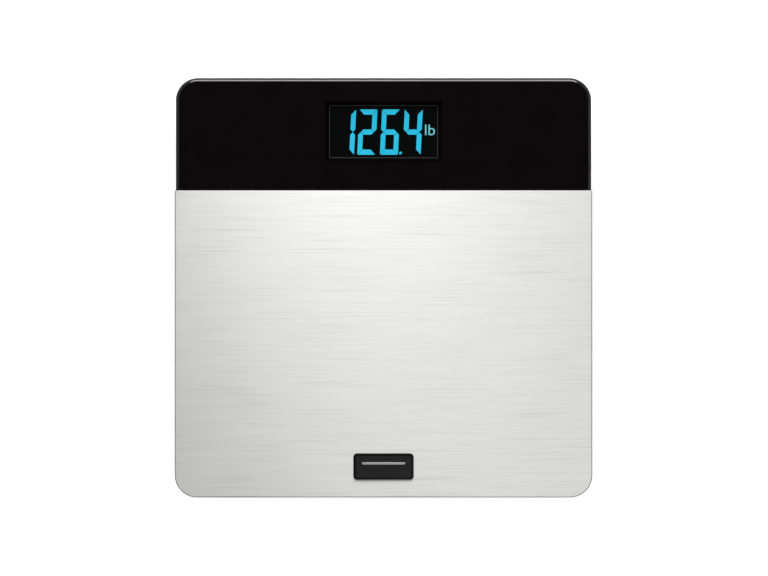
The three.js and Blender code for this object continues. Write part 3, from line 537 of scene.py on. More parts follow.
print_bm = bmesh.new()
print_face = rounded_face(
    print_bm, *outline(print_low, print_high), print_low.z, PRINT_FRONT_CORNER, PRINT_REAR_CORNER,
)
raise_face(print_bm, print_face, print_high.z - print_low.z)
closed(print_bm)
enamel = make_piece("black_enamel", print_bm, "platform", "printed_black", "black_print")
window_low = (-WINDOW_SIZE[0] / 2, WINDOW_Y - WINDOW_SIZE[1] / 2)
window_high = (WINDOW_SIZE[0] / 2, WINDOW_Y + WINDOW_SIZE[1] / 2)
carve(enamel, slab(
    *outline(window_low, window_high), print_low.z - PAST, print_high.z + PAST, WINDOW_CORNER,
))

black_coat = Finish("fired_enamel", (0.004, 0.003, 0.0033), 0.35)
black_coat.shader.inputs["Specular IOR Level"].default_value = 0.0
black_coat.mottle((0.0036, 0.0026, 0.0029), (0.0046, 0.0034, 0.0037), 60, 4.0)
black_coat.polish(0.3, 0.42, 900)
coat(enamel, black_coat)


# ------------------------------------------------------------------ badge
# A small moulded plate stuck on the tread, with a glossy raised rim round a satin face
# and one plain bright bar let into it.
BADGE_CORNER = 2.8 * MM
FACE_RIM = 0.15 * MM
RIM_ROUND = 0.35 * MM
RIM_FLAT = 0.95 * MM
RIM_SLOPE = 0.35 * MM
BAR_LENGTH = 31 * MM
BAR_DEPTH = 1.6 * MM
BAR_ABOVE_CENTRE = 2.2 * MM
BAR_END = BAR_DEPTH * 0.499
BAR_SUNK = 0.05 * MM
BAR_THICKNESS = 0.12 * MM

badge_low, badge_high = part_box("badge")
badge_bm = bmesh.new()
badge_blank = rounded_face(
    badge_bm, *outline(badge_low, badge_high), badge_low.z, BADGE_CORNER, BADGE_CORNER, 12,
)
badge_face = raise_face(badge_bm, badge_blank, badge_high.z - RIM_ROUND - badge_low.z)
step_in(
    badge_bm, badge_face, *quarter_round(RIM_ROUND, 5), (RIM_FLAT, 0), (RIM_SLOPE, -RIM_SLOPE),
    (FACE_RIM, 0),
)
badge_face.material_index = 1
closed(badge_bm)
badge = make_piece("badge_plate", badge_bm, "platform", "badge_black", "badge")

rim_gloss = Finish("badge_gloss", (0.002, 0.002, 0.002), 0.2)
rim_gloss.shader.inputs["Specular IOR Level"].default_value = 0.25
rim_gloss.polish(0.14, 0.26, 1200)
rim_gloss.mottle((0.0015, 0.0015, 0.0015), (0.003, 0.003, 0.003), 400)
face_satin = Finish("badge_satin", (0.007, 0.007, 0.007), 0.5)
face_satin.shader.inputs["Specular IOR Level"].default_value = 0.3
face_satin.grain(0.02 * MM, 0.3, 5000)
face_satin.mottle((0.0045, 0.0045, 0.0045), (0.0075, 0.0075, 0.0075), 2500)
coat(badge, rim_gloss, face_satin)

bar_bm = bmesh.new()
bar_y = (badge_low.y + badge_high.y) / 2 + BAR_ABOVE_CENTRE
bar_face = rounded_face(
    bar_bm, -BAR_LENGTH / 2, BAR_LENGTH / 2, bar_y - BAR_DEPTH / 2, bar_y + BAR_DEPTH / 2,
    badge_high.z - RIM_SLOPE - BAR_SUNK, BAR_END, BAR_END, 6,
)
bar_top = raise_face(bar_bm, bar_face, BAR_THICKNESS)
step_in(bar_bm, bar_top, (0.06 * MM, 0.05 * MM))
closed(bar_bm)
inlay = make_piece("badge_bar", bar_bm, "platform", "nickel_plate")
bright = Finish("satin_nickel", (0.62, 0.62, 0.61), 0.35, 1.0)
bright.polish(0.28, 0.42, 3000, 3.0)
bright.mottle((0.56, 0.56, 0.55), (0.66, 0.66, 0.65), 800)
coat(inlay, bright)


# ------------------------------------------------------------------ display frame
# A dark grey moulded frame glued behind the window. Its lip shows inside the print as a
# hair-thin outline, and the display glass sits in the rebate below.
BEZEL_CORNER = 2 * MM
LIP = 0.4 * MM
LIP_CORNER = 0.8 * MM
SEAT_CLEARANCE = 0.3 * MM
SEAT_ABOVE = 0.1 * MM
SEAT_CORNER = 0.5 * MM


def soften(piece, width, segments=2, angle=40):
    """Breaks the piece's sharp edges with a small round."""
    edge = piece.modifiers.new("soft_edges", "BEVEL")
    edge.width = width
    edge.segments = segments
    edge.limit_method = "ANGLE"
    edge.angle_limit = math.radians(angle)
    bake(piece, 50)
    flatten = piece.modifiers.new("flat_faces", "WEIGHTED_NORMAL")
    flatten.keep_sharp = True
    flatten.weight = 100


bezel_low, bezel_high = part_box("lcd_bezel")
panel_low, panel_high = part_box("lcd_panel")
bezel = make_piece(
    "display_frame", slab(*outline(bezel_low, bezel_high), bezel_low.z, bezel_high.z, BEZEL_CORNER),
    "platform", "bezel_grey", "lcd_bezel",
)
carve(bezel, slab(
    *outline(panel_low, panel_high, -SEAT_CLEARANCE), bezel_low.z - PAST, panel_high.z + SEAT_ABOVE,
    SEAT_CORNER,
))
carve(bezel, slab(
    *outline(window_low, window_high, LIP), panel_high.z - PAST, bezel_high.z + PAST, LIP_CORNER,
))
soften(bezel, 0.12 * MM)
frame_grey = Finish("moulded_grey", (0.05, 0.05, 0.05), 0.5)
frame_grey.mottle((0.045, 0.045, 0.046), (0.06, 0.06, 0.061), 900, 3.0)
frame_grey.grain(0.01 * MM, 0.4, 6000)
coat(bezel, frame_grey)


# ------------------------------------------------------------------ display glass
# Two thin sheets of glass with the liquid crystal between them and a dark polariser on
# top. The lower sheet is left bare along the front for its row of contacts.
SHEET_GLASS = 0.9 * MM
SEAL = 0.01 * MM
CONTACT_LEDGE = 2.6 * MM
FILM_MARGIN = 1.2 * MM
PANE_CORNER = 0.3 * MM

panel_bm = bmesh.new()
lower_sheet = rounded_face(
    panel_bm, *outline(panel_low, panel_high), panel_low.z, PANE_CORNER, PANE_CORNER, 2,
)
raise_face(panel_bm, lower_sheet, SHEET_GLASS)
upper_sheet = rounded_face(
    panel_bm, panel_low.x, panel_high.x, panel_low.y + CONTACT_LEDGE, panel_high.y,
    panel_low.z + SHEET_GLASS + SEAL, PANE_CORNER, PANE_CORNER, 2,
)
raise_face(panel_bm, upper_sheet, SHEET_GLASS - 2 * SEAL)
film_blank = rounded_face(
    panel_bm, panel_low.x + FILM_MARGIN, panel_high.x - FILM_MARGIN, panel_low.y + CONTACT_LEDGE,
    panel_high.y - FILM_MARGIN / 2, panel_low.z + 2 * SHEET_GLASS, PANE_CORNER, PANE_CORNER, 2,
)
raise_face(panel_bm, film_blank, panel_high.z - panel_low.z - 2 * SHEET_GLASS)
closed(panel_bm)
for panel_face in panel_bm.faces:
    panel_face.material_index = int(panel_face.calc_center_median().z > panel_low.z + 2 * SHEET_GLASS)
panel = make_piece("display_glass", panel_bm, "platform", "display_glass", "lcd_panel")

cell_glass = Finish("cell_glass", (0.02, 0.024, 0.024), 0.06)
cell_glass.mottle((0.016, 0.02, 0.02), (0.024, 0.028, 0.028), 200)
film = Finish("polariser_film", (0.0005, 0.0005, 0.0006), 0.3)
film.shader.inputs["Specular IOR Level"].default_value = 0.1
film.mottle((0.0003, 0.0003, 0.0004), (0.0007, 0.0007, 0.0009), 300, 3.0)
film.polish(0.25, 0.4, 2500)
coat(panel, cell_glass, film)


# ------------------------------------------------------------------ lit segments
# The numerals and the unit sign, lit from behind through the gaps in the dark film.
# Each numeral is made of up to seven mitred bars that lean a little to the right.
DIGIT_WIDTH = 13.2 * MM
DIGIT_HEIGHT = 32.9 * MM
DIGIT_FOOT = 95.65 * MM
UPRIGHT = 3.65 * MM
CROSSBAR = 4.0 * MM
SEGMENT_GAP = 0.2 * MM
OUTER_CUT = 0.7 * MM
LEAN = math.tan(math.radians(2.8))
SEGMENT_DEPTH = 0.03 * MM
READING = (
    (-34.4 * MM, "bc"),
    (-19.1 * MM, "abged"),
    (-2.75 * MM, "afgecd"),
    (13.6 * MM, "fgbc"),
)
POINT_PLACE = (10.9 * MM, 95.8 * MM)
POINT_SIZE = 2.2 * MM
POINT_CORNERS = ((0, 0), (1, 0.15), (1.15, 1), (0.35, 1))
UNIT_PLACE = (29.9 * MM, 109.8 * MM)
UNIT_SIZE = (7.2 * MM, 7.7 * MM)
GLOW = 1.1

middle = DIGIT_HEIGHT / 2
right, inner_right = DIGIT_WIDTH, DIGIT_WIDTH - UPRIGHT
top, inner_top = DIGIT_HEIGHT, DIGIT_HEIGHT - CROSSBAR
half_bar, half_cut = CROSSBAR / 2, OUTER_CUT / 2
SEGMENTS = {
    "a": (
        (OUTER_CUT, top), (half_cut, top - half_cut), (UPRIGHT, inner_top), (inner_right, inner_top),
        (right - half_cut, top - half_cut), (right - OUTER_CUT, top),
    ),
    "b": (
        (right, top - OUTER_CUT), (right - half_cut, top - half_cut), (inner_right, inner_top),
        (inner_right, middle + half_bar), (right - UPRIGHT / 2, middle), (right, middle + UPRIGHT / 2),
    ),
    "g": (
        (UPRIGHT / 2, middle), (UPRIGHT, middle - half_bar), (inner_right, middle - half_bar),
        (right - UPRIGHT / 2, middle), (inner_right, middle + half_bar), (UPRIGHT, middle + half_bar),
    ),
}
SEGMENTS["f"] = tuple((right - x, y) for x, y in SEGMENTS["b"])
SEGMENTS["c"] = tuple((x, top - y) for x, y in SEGMENTS["b"])
SEGMENTS["e"] = tuple((right - x, top - y) for x, y in SEGMENTS["b"])
SEGMENTS["d"] = tuple((x, top - y) for x, y in SEGMENTS["a"])


def thickened(bm, depth):
    """Gives a flat shape that depth, upwards."""
    drawn = bmesh.ops.extrude_face_region(bm, geom=bm.faces[:])["geom"]
    moved = [v for v in drawn if isinstance(v, bmesh.types.BMVert)]
    bmesh.ops.translate(bm, vec=(0, 0, depth), verts=moved)
    return closed(bm)


def meshed(curve):
    """A shape made from a text or a wire."""
    source = bpy.data.objects.new(curve.name, curve)
    bpy.context.scene.collection.objects.link(source)
    mesh = baked(source)
    bpy.data.objects.remove(source)
    bm = bmesh.new()
    bm.from_mesh(mesh)
    bpy.data.meshes.remove(mesh)
    return bm


def glowing(name, unlit, first, second):
    """Film that is lit from behind, a little unevenly."""
    made = Finish(name, unlit, 0.5)
    made.shader.inputs["Emission Strength"].default_value = GLOW
    made.shader.inputs["Specular IOR Level"].default_value = 0.0
    made.link(made.tint(made.noise(160), first, second), made.shader.inputs["Emission Color"])
    return made


lit_bm = bmesh.new()
lit_faces = []
for digit_x, bars in READING:
    for bar in bars:
        ends = [(digit_x + x + LEAN * y, DIGIT_FOOT + y, panel_high.z) for x, y in SEGMENTS[bar]]
        lit_faces.append(lit_bm.faces.new([lit_bm.verts.new(end) for end in ends]))
point_x, point_y = POINT_PLACE
point_ends = [
    (point_x + x * POINT_SIZE, point_y + y * POINT_SIZE, panel_high.z) for x, y in POINT_CORNERS
]
lit_faces.append(lit_bm.faces.new([lit_bm.verts.new(end) for end in point_ends]))
for lit_face in lit_faces:
    lit_face.normal_update()
    if lit_face.normal.z < 0:
        lit_face.normal_flip()
gaps = bmesh.ops.inset_individual(
    lit_bm, faces=lit_faces, thickness=SEGMENT_GAP / 2, use_even_offset=True,
)["faces"]
bmesh.ops.delete(lit_bm, geom=gaps, context="FACES")
numerals = make_piece("lit_numerals", thickened(lit_bm, SEGMENT_DEPTH), "platform", "light_guide")
coat(numerals, glowing("lit_blue", (0.01, 0.2, 0.3), (0.020, 0.37, 0.56), (0.028, 0.42, 0.62)))

unit_text = bpy.data.curves.new("unit_text", "FONT")
unit_text.body = "lb"
unit_bm = meshed(unit_text)
text_low = [min(v.co[i] for v in unit_bm.verts) for i in range(2)]
text_high = [max(v.co[i] for v in unit_bm.verts) for i in range(2)]
stretch = [size / (high - low) for size, low, high in zip(UNIT_SIZE, text_low, text_high)]
bmesh.ops.translate(unit_bm, vec=(-text_low[0], -text_low[1], 0), verts=unit_bm.verts)
bmesh.ops.scale(unit_bm, vec=(*stretch, 1), verts=unit_bm.verts)
bmesh.ops.translate(unit_bm, vec=(*UNIT_PLACE, panel_high.z), verts=unit_bm.verts)
unit_sign = make_piece("lit_unit", thickened(unit_bm, SEGMENT_DEPTH), "platform", "light_guide")
coat(unit_sign, glowing("lit_pale", (0.1, 0.25, 0.25), (0.09, 0.38, 0.46), (0.13, 0.48, 0.56)))


# ------------------------------------------------------------------ feet
# Each foot is a moulded bracket glued under the glass, a cup that floats in its bore on
# the load cell, and a ribbed rubber pad. All are round and turned from one profile.
CORNERS = ("front_left", "front_right", "rear_left", "rear_right")
FOOT_STEPS = 72
BRACKET_PROFILE = (
    (0, 16.6), (25.0, 16.6), (25.0, 9.0), (23.3, 9.0), (23.3, 7.5), (23.6, 7.2), (26.0, 7.2),
    (26.7, 7.5), (27.0, 8.2), (27.0, 15.4), (27.4, 16.3), (28.2, 16.6), (31.5, 16.6), (32.0, 16.9),
    (32.0, 17.8), (31.8, 18.0), (0, 18.0),
)
CUP_PROFILE = (
    (0, 2.05), (21.4, 2.05), (22.2, 2.5), (22.7, 3.3), (22.8, 4.2), (22.8, 5.4), (22.4, 5.7), (22.8, 6.0),
    (22.8, 9.1), (24.4, 9.1), (24.4, 10.5), (20.8, 10.5), (20.8, 4.1), (4.0, 4.1), (4.0, 11.9), (0, 11.9),
)
PAD_PROFILE = (
    (0, 0.35), (3.6, 0.35), (3.9, 0.0), (6.6, 0.0), (6.9, 0.35), (8.0, 0.35), (8.3, 0.0), (11.0, 0.0),
    (11.3, 0.35), (12.4, 0.35), (12.7, 0.0), (15.4, 0.0), (15.7, 0.35), (16.8, 0.35), (17.1, 0.0),
    (19.2, 0.0), (19.75, 0.25), (20.0, 0.8), (20.0, 1.75), (19.8, 2.0), (0, 2.0),
)
GUSSETS = 12
GUSSET_SIZE = (4.2 * MM, 1.2 * MM, 6 * MM)
GUSSET_PLACE = (28.9 * MM, 0, 13.7 * MM)
GUSSET_TOE_IN = 4.0 * MM


def spun(profile, steps=FOOT_STEPS):
    """A solid turned about Z from (radius, height) points in millimetres."""
    bm = bmesh.new()
    points = [bm.verts.new((radius * MM, 0, height * MM)) for radius, height in profile]
    edges = [bm.edges.new(pair) for pair in zip(points, points[1:])]
    bmesh.ops.spin(
        bm, geom=points + edges, cent=(0, 0, 0), axis=(0, 0, 1), angle=2 * math.pi, steps=steps,
        use_merge=True,
    )
    bmesh.ops.remove_doubles(bm, verts=bm.verts, dist=0.001 * MM)
    return closed(bm)


def moulded_black(name, wear=0.03):
    """Black moulding with a fine spark texture and slightly rubbed, paler edges."""
    made = Finish(name, (0.012, 0.012, 0.013), 0.5)
    rubbed = made.node("ShaderNodeNewGeometry")
    base = made.tint(made.noise(180, 4.0), (0.0095, 0.0095, 0.0105), (0.0155, 0.0155, 0.0165))
    worn = made.node("ShaderNodeMixRGB")
    made.link(made.between(rubbed.outputs["Pointiness"], 0, 1, 0.52, 0.6), worn.inputs["Fac"])
    made.link(base, worn.inputs["Color1"])
    worn.inputs["Color2"].default_value = (wear, wear, wear * 1.05, 1)
    made.colour(worn.outputs["Color"])
    made.polish(0.42, 0.62, 1400, 3.0)
    made.grain(0.025 * MM, 0.5, 4500)
    return made


bracket_plastic = moulded_black("bracket_plastic")
cup_plastic = moulded_black("cup_plastic", 0.035)
rubber = Finish("pad_rubber", (0.013, 0.013, 0.013), 0.85)
rubber.mottle((0.010, 0.010, 0.010), (0.022, 0.0215, 0.021), 350, 4.0)
rubber.polish(0.75, 0.95, 900, 3.0)
rubber.grain(0.04 * MM, 0.6, 2800, 3.0)

for corner_name in CORNERS:
    foot_low, foot_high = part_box("foot_pad_" + corner_name)
    foot_place = ((foot_low.x + foot_high.x) / 2, (foot_low.y + foot_high.y) / 2, 0)
    bracket_bm = spun(BRACKET_PROFILE)
    for gusset in range(GUSSETS):
        web = bmesh.ops.create_cube(bracket_bm, size=1)["verts"]
        bmesh.ops.scale(bracket_bm, vec=GUSSET_SIZE, verts=web)
        bmesh.ops.translate(bracket_bm, vec=GUSSET_PLACE, verts=web)
        toe = [v for v in web if v.co.x > GUSSET_PLACE[0] and v.co.z < GUSSET_PLACE[2]]
        bmesh.ops.translate(bracket_bm, vec=(-GUSSET_TOE_IN, 0, 0), verts=toe)
        turn = (gusset + 0.5) / GUSSETS * 2 * math.pi
        bmesh.ops.rotate(bracket_bm, cent=(0, 0, 0), matrix=Matrix.Rotation(turn, 3, "Z"), verts=web)
    bmesh.ops.translate(bracket_bm, vec=foot_place, verts=bracket_bm.verts)
    bracket = make_piece(
        "bracket_" + corner_name, bracket_bm, "platform", "housing_plastic", "foot_bracket_" + corner_name,
    )
    coat(bracket, bracket_plastic)
    cup_bm = spun(CUP_PROFILE)
    bmesh.ops.translate(cup_bm, vec=foot_place, verts=cup_bm.verts)
    cup = make_piece("cup_" + corner_name, cup_bm, "platform", "housing_plastic", "foot_cup_" + corner_name)
    coat(cup, cup_plastic)
    pad_bm = spun(PAD_PROFILE)
    bmesh.ops.translate(pad_bm, vec=foot_place, verts=pad_bm.verts)
    pad = make_piece("pad_" + corner_name, pad_bm, "platform", "pad_rubber", "foot_pad_" + corner_name)
    coat(pad, rubber)


# ------------------------------------------------------------------ housing cover
# The lower tray of the electronics housing, moulded in black. Its floor carries the
# battery tub, the door's bed, a finger scoop, the button hole and four sunk screw holes.
HOUSING_CORNER = 8 * MM
COVER_ROUND = 1.2 * MM
COVER_WALL = 2 * MM
COVER_FLOOR = 1.8 * MM
POST_X = 52 * MM
POST_Y = (46 * MM, 133 * MM)
POST_PROFILE = ((0, 4.9), (3.5, 4.9), (3.5, 11.7), (3.3, 11.9), (0, 11.9))
BURY = 0.9 * MM
OPEN_BELOW = 4 * MM
DOOR_BED = (-31 * MM, 31 * MM, 39 * MM, 84 * MM)
BED_TOP = 7.4 * MM
TUB = (-27.2 * MM, 27.2 * MM, 43.8 * MM, 80.2 * MM)
BAY = (-26 * MM, 26 * MM, 45 * MM, 79 * MM)
BAY_TOP = 17 * MM
DOOR_OPENING = (-28.5 * MM, 28.5 * MM, 41.6 * MM, 81.6 * MM)
OPENING_TOP = 5.9 * MM
LABEL_PANEL = (-48 * MM, 8 * MM, 94 * MM, 124 * MM)
LABEL_DEPTH = 0.25 * MM
HINGE_PLACE = (43 * MM, 4.9 * MM)
PIN_HOLE_RADIUS = 0.8 * MM
PIN_HOLE_REACH = 30.1 * MM
SCOOP_Y = 80.3 * MM
SCOOP_PROFILE = ((0, 5.2), (4.5, 5.1), (6.0, 4.8), (6.8, 4.2), (7.0, 3.9), (7.0, 2.0), (0, 2.0))
BUTTON_HOLE_PROFILE = ((0, 5.85), (4.8, 5.85), (4.8, 4.4), (5.2, 4.0), (5.2, 2.0), (0, 2.0))
SCREW_HOLE_PROFILE = (
    (0, 12.5), (1.5, 12.5), (1.5, 8.6), (2.7, 8.6), (2.7, 4.3), (3.0, 4.0), (3.0, 2.0), (0, 2.0),
)
TAIL_SLOTS = ((-1, 50.8 * MM), (1, 73.2 * MM))
TAIL_REACH = (25 * MM, 28.2 * MM)
TAIL_HALF_WIDTH = 1.8 * MM
TAIL_HEIGHTS = (15.2 * MM, 16.4 * MM)


def add_spun(bm, profile, x, y, steps=36):
    """Adds a solid turned about an upright axis at x, y, from millimetre points."""
    turned = spun(profile, steps)
    bmesh.ops.translate(turned, vec=(x, y, 0), verts=turned.verts)
    mesh = bpy.data.meshes.new("turned")
    turned.to_mesh(mesh)
    turned.free()
    bm.from_mesh(mesh)
    bpy.data.meshes.remove(mesh)


def add_bar_along_x(bm, radius, reach, y, z, steps=16):
    """Adds a round bar that lies along X and reaches as far to each side."""
    disc = bmesh.ops.create_circle(bm, cap_ends=True, segments=steps, radius=radius)["verts"]
    bmesh.ops.rotate(bm, cent=(0, 0, 0), matrix=Matrix.Rotation(math.pi / 2, 3, "Y"), verts=disc)
    bmesh.ops.translate(bm, vec=(-reach, y, z), verts=disc)
    drawn = bmesh.ops.extrude_face_region(bm, geom=[disc[0].link_faces[0]])["geom"]
    moved = [v for v in drawn if isinstance(v, bmesh.types.BMVert)]
    bmesh.ops.translate(bm, vec=(2 * reach, 0, 0), verts=moved)


def on_side(side, near, far):
    """The two distances from the middle as low and high X, on the left (-1) or right (1)."""
    return sorted((side * near, side * far))


cover_low, cover_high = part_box("housing_cover")
frame_low, frame_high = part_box("housing_frame")
shell_top = frame_low.z - 0.1 * MM
posts = [(side * POST_X, y) for side in (-1, 1) for y in POST_Y]
button_low, button_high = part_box("unit_button")
button_place = ((button_low.x + button_high.x) / 2, (button_low.y + button_high.y) / 2)

cover_bm = bmesh.new()
cover_blank = rounded_face(
    cover_bm, *outline(cover_low, cover_high), cover_low.z + COVER_ROUND, HOUSING_CORNER, HOUSING_CORNER, 14,
)
raise_face(cover_bm, cover_blank, shell_top - cover_low.z - COVER_ROUND)
closed(cover_bm)
cover_bottom = min(cover_bm.faces, key=lambda f: f.calc_center_median().z)
step_in(cover_bm, cover_bottom, *quarter_round(COVER_ROUND, 5), (0.2 * MM, 0))
cover = make_piece("housing_tray", cover_bm, "platform", "housing_plastic", "housing_cover")
carve(cover, slab(
    *outline(cover_low, cover_high, COVER_WALL), cover_low.z + COVER_FLOOR, shell_top + PAST,
    HOUSING_CORNER - COVER_WALL, 10,
))

raised_bm = bmesh.new()
add_slab(raised_bm, *DOOR_BED, cover_low.z + BURY, BED_TOP)
add_slab(raised_bm, *TUB, cover_low.z + BURY, cover_high.z)
for post_place in posts:
    add_spun(raised_bm, POST_PROFILE, *post_place)
carve(cover, closed(raised_bm), "UNION")

cuts_bm = bmesh.new()
add_slab(cuts_bm, *BAY, cover_low.z - OPEN_BELOW, BAY_TOP, 0.8 * MM, 3)
add_slab(cuts_bm, *DOOR_OPENING, cover_low.z - OPEN_BELOW, OPENING_TOP, 0.6 * MM, 3)
add_slab(cuts_bm, *LABEL_PANEL, cover_low.z - OPEN_BELOW, cover_low.z + LABEL_DEPTH, 1.5 * MM, 6)
add_bar_along_x(cuts_bm, PIN_HOLE_RADIUS, PIN_HOLE_REACH, *HINGE_PLACE)
add_spun(cuts_bm, SCOOP_PROFILE, 0, SCOOP_Y, 48)
add_spun(cuts_bm, BUTTON_HOLE_PROFILE, *button_place, 48)
for post_place in posts:
    add_spun(cuts_bm, SCREW_HOLE_PROFILE, *post_place, 32)
for side, tail_y in TAIL_SLOTS:
    tail_front, tail_rear = tail_y - TAIL_HALF_WIDTH, tail_y + TAIL_HALF_WIDTH
    add_slab(cuts_bm, *on_side(side, *TAIL_REACH), tail_front, tail_rear, *TAIL_HEIGHTS)
carve(cover, closed(cuts_bm))
soften(cover, 0.15 * MM, 1, 55)
tray_plastic = moulded_black("tray_plastic")
coat(cover, tray_plastic)


# ------------------------------------------------------------------ housing frame
# The upper ring, glued to the print. Its posts take the four screws, and the leads come
# in through the slot in each side.
RING_POST_PROFILE = ((0, 12.02), (3.5, 12.02), (3.5, 17.98), (0, 17.98))
PILOT_PROFILE = ((0, 10.0), (1.25, 10.0), (1.25, 17.2), (0, 17.2))
WEB_HALF_WIDTH = 1 * MM
WEB_FAR = 59 * MM
WEB_HEIGHTS = (12.04 * MM, 17.96 * MM)
SLOT_HALF_WIDTH = 4.7 * MM
SLOT_Y = 70 * MM
SLOT_REACH = (56 * MM, 61 * MM)
SLOT_HEIGHTS = (13.9 * MM, 19 * MM)

ring = make_piece(
    "housing_ring", slab(*outline(frame_low, frame_high), frame_low.z, frame_high.z, HOUSING_CORNER, 14),
    "platform", "housing_plastic", "housing_frame",
)
carve(ring, slab(
    *outline(frame_low, frame_high, COVER_WALL), frame_low.z - PAST, frame_high.z + PAST,
    HOUSING_CORNER - COVER_WALL, 10,
))
ring_posts_bm = bmesh.new()
for post_x, post_y in posts:
    add_spun(ring_posts_bm, RING_POST_PROFILE, post_x, post_y)
    web_sides = on_side(math.copysign(1, post_x), POST_X, WEB_FAR)
    add_slab(ring_posts_bm, *web_sides, post_y - WEB_HALF_WIDTH, post_y + WEB_HALF_WIDTH, *WEB_HEIGHTS)
carve(ring, closed(ring_posts_bm), "UNION")
ring_cuts_bm = bmesh.new()
for post_place in posts:
    add_spun(ring_cuts_bm, PILOT_PROFILE, *post_place, 20)
for side in (-1, 1):
    slot_sides = on_side(side, *SLOT_REACH)
    add_slab(ring_cuts_bm, *slot_sides, SLOT_Y - SLOT_HALF_WIDTH, SLOT_Y + SLOT_HALF_WIDTH, *SLOT_HEIGHTS)
carve(ring, closed(ring_cuts_bm))
soften(ring, 0.15 * MM, 1, 55)
coat(ring, tray_plastic)


# ------------------------------------------------------------------ housing screws
# Four nickel-plated thread-forming screws with a round head and a cross recess, sunk in
# the tray and driven up into the frame's posts.
HEAD_PROFILE = ((0, 6.5), (0.9, 6.52), (1.7, 6.7), (2.15, 7.05), (2.3, 7.5), (2.3, 8.5), (0.95, 8.5))
TIP_PROFILE = ((0.85, 15.5), (0.3, 16.5), (0, 16.5))
THREAD_START = 8.7
THREAD_PITCH = 0.8
THREADS = 8
THREAD_PROFILE = ((0.85, 0.0), (1.1, 0.42), (1.1, 0.55), (0.85, 0.95))
RECESS_ARM = (1.35 * MM, 0.3 * MM)
RECESS_DEPTH = 1.1 * MM

thread_profile = [
    (radius, THREAD_START + THREAD_PITCH * (turn + part))
    for turn in range(THREADS) for radius, part in THREAD_PROFILE
]
screw_profile = (*HEAD_PROFILE, *thread_profile, *TIP_PROFILE)
nickel = Finish("bright_nickel", (0.6, 0.59, 0.56), 0.3, 1.0)
nickel.mottle((0.5, 0.49, 0.46), (0.66, 0.65, 0.62), 700, 3.0)
nickel.polish(0.22, 0.42, 2500, 3.0)
nickel.grain(0.01 * MM, 0.4, 5000)

for corner_name in CORNERS:
    screw_node = "housing_screw_" + corner_name
    screw_low, screw_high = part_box(screw_node)
    screw_x, screw_y = (screw_low.x + screw_high.x) / 2, (screw_low.y + screw_high.y) / 2
    screw_bm = bmesh.new()
    add_spun(screw_bm, screw_profile, screw_x, screw_y, 28)
    screw = make_piece("screw_" + corner_name, screw_bm, "platform", "nickel_plate", screw_node)
    recess_bm = bmesh.new()
    for half_x, half_y in (RECESS_ARM, RECESS_ARM[::-1]):
        add_slab(
            recess_bm, screw_x - half_x, screw_x + half_x, screw_y - half_y, screw_y + half_y,
            screw_low.z - PAST, screw_low.z + RECESS_DEPTH,
        )
    carve(screw, closed(recess_bm))
    coat(screw, nickel)


# ------------------------------------------------------------------ unit button
# A small moulded button, lightly dished for a fingertip. Its flange keeps it in the tray
# and its stem meets the plunger of the switch.
BUTTON_PROFILE = (
    (0, 3.95), (1.6, 3.9), (2.9, 3.75), (3.7, 3.6), (4.1, 3.63), (4.4, 3.85), (4.5, 4.2), (4.5, 5.9),
    (6.0, 5.9), (6.0, 6.7), (1.5, 6.7), (1.5, 7.1), (0, 7.1),
)

unit_button_bm = bmesh.new()
add_spun(unit_button_bm, BUTTON_PROFILE, *button_place, 48)
unit_button = make_piece("unit_push_button", unit_button_bm, "unit_button", "button_plastic", "unit_button")
button_grey = Finish("button_grey", (0.11, 0.11, 0.115), 0.4)
button_grey.mottle((0.095, 0.095, 0.1), (0.13, 0.13, 0.135), 500, 3.0)
button_grey.polish(0.32, 0.5, 1500, 3.0)
button_grey.grain(0.015 * MM, 0.4, 5000)
coat(unit_button, button_grey)


# ------------------------------------------------------------------ battery door
# A flat moulded door. A barrel with end pins hinges it in the tray, two slits free the
# snap tongue with its hook, and shallow grooves give the finger a grip.
DOOR_HALF_WIDTH = 28.2 * MM
DOOR_CORNER = 0.5 * MM
PANEL_BOTTOM = 4.05 * MM
PANEL_TOP = 5.75 * MM
BARREL = (0.845 * MM, 28.19 * MM)
PIN = (0.55 * MM, 29.8 * MM)
RIB_START = PANEL_BOTTOM + 1 * MM
HOOK = (-5 * MM, 5 * MM, 77.7 * MM, 78.7 * MM, RIB_START, 7.55 * MM)
RIB_REACH = (18.8 * MM, 20 * MM)
RIB_RUN = (48 * MM, 76 * MM, RIB_START, 6.15 * MM)
SLIT_REACH = (6.0 * MM, 6.8 * MM)
SLIT_RUN = (72.3 * MM, 83 * MM, 2 * MM, 9 * MM)
GRIP_HALF_WIDTH = 4.2 * MM
GRIP_ROWS = (66.5, 68.5, 70.5, 72.5, 74.5)
GROOVE_HALF = 0.45 * MM
GROOVE_END_ROUND = 0.44 * MM
GRIP_DEPTH = 0.35 * MM

door_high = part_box("battery_door")[1]
door_bm = bmesh.new()
door_blank = rounded_face(
    door_bm, -DOOR_HALF_WIDTH, DOOR_HALF_WIDTH, HINGE_PLACE[0], door_high.y, PANEL_BOTTOM, 0, DOOR_CORNER, 5,
)
raise_face(door_bm, door_blank, PANEL_TOP - PANEL_BOTTOM)
door = make_piece("door_panel", closed(door_bm), "battery_door", "housing_plastic", "battery_door")
door_add_bm = bmesh.new()
add_bar_along_x(door_add_bm, *BARREL, *HINGE_PLACE, 28)
add_bar_along_x(door_add_bm, *PIN, *HINGE_PLACE, 20)
add_slab(door_add_bm, *HOOK)
for side in (-1, 1):
    add_slab(door_add_bm, *on_side(side, *RIB_REACH), *RIB_RUN)
carve(door, closed(door_add_bm), "UNION")
door_cut_bm = bmesh.new()
for side in (-1, 1):
    add_slab(door_cut_bm, *on_side(side, *SLIT_REACH), *SLIT_RUN)
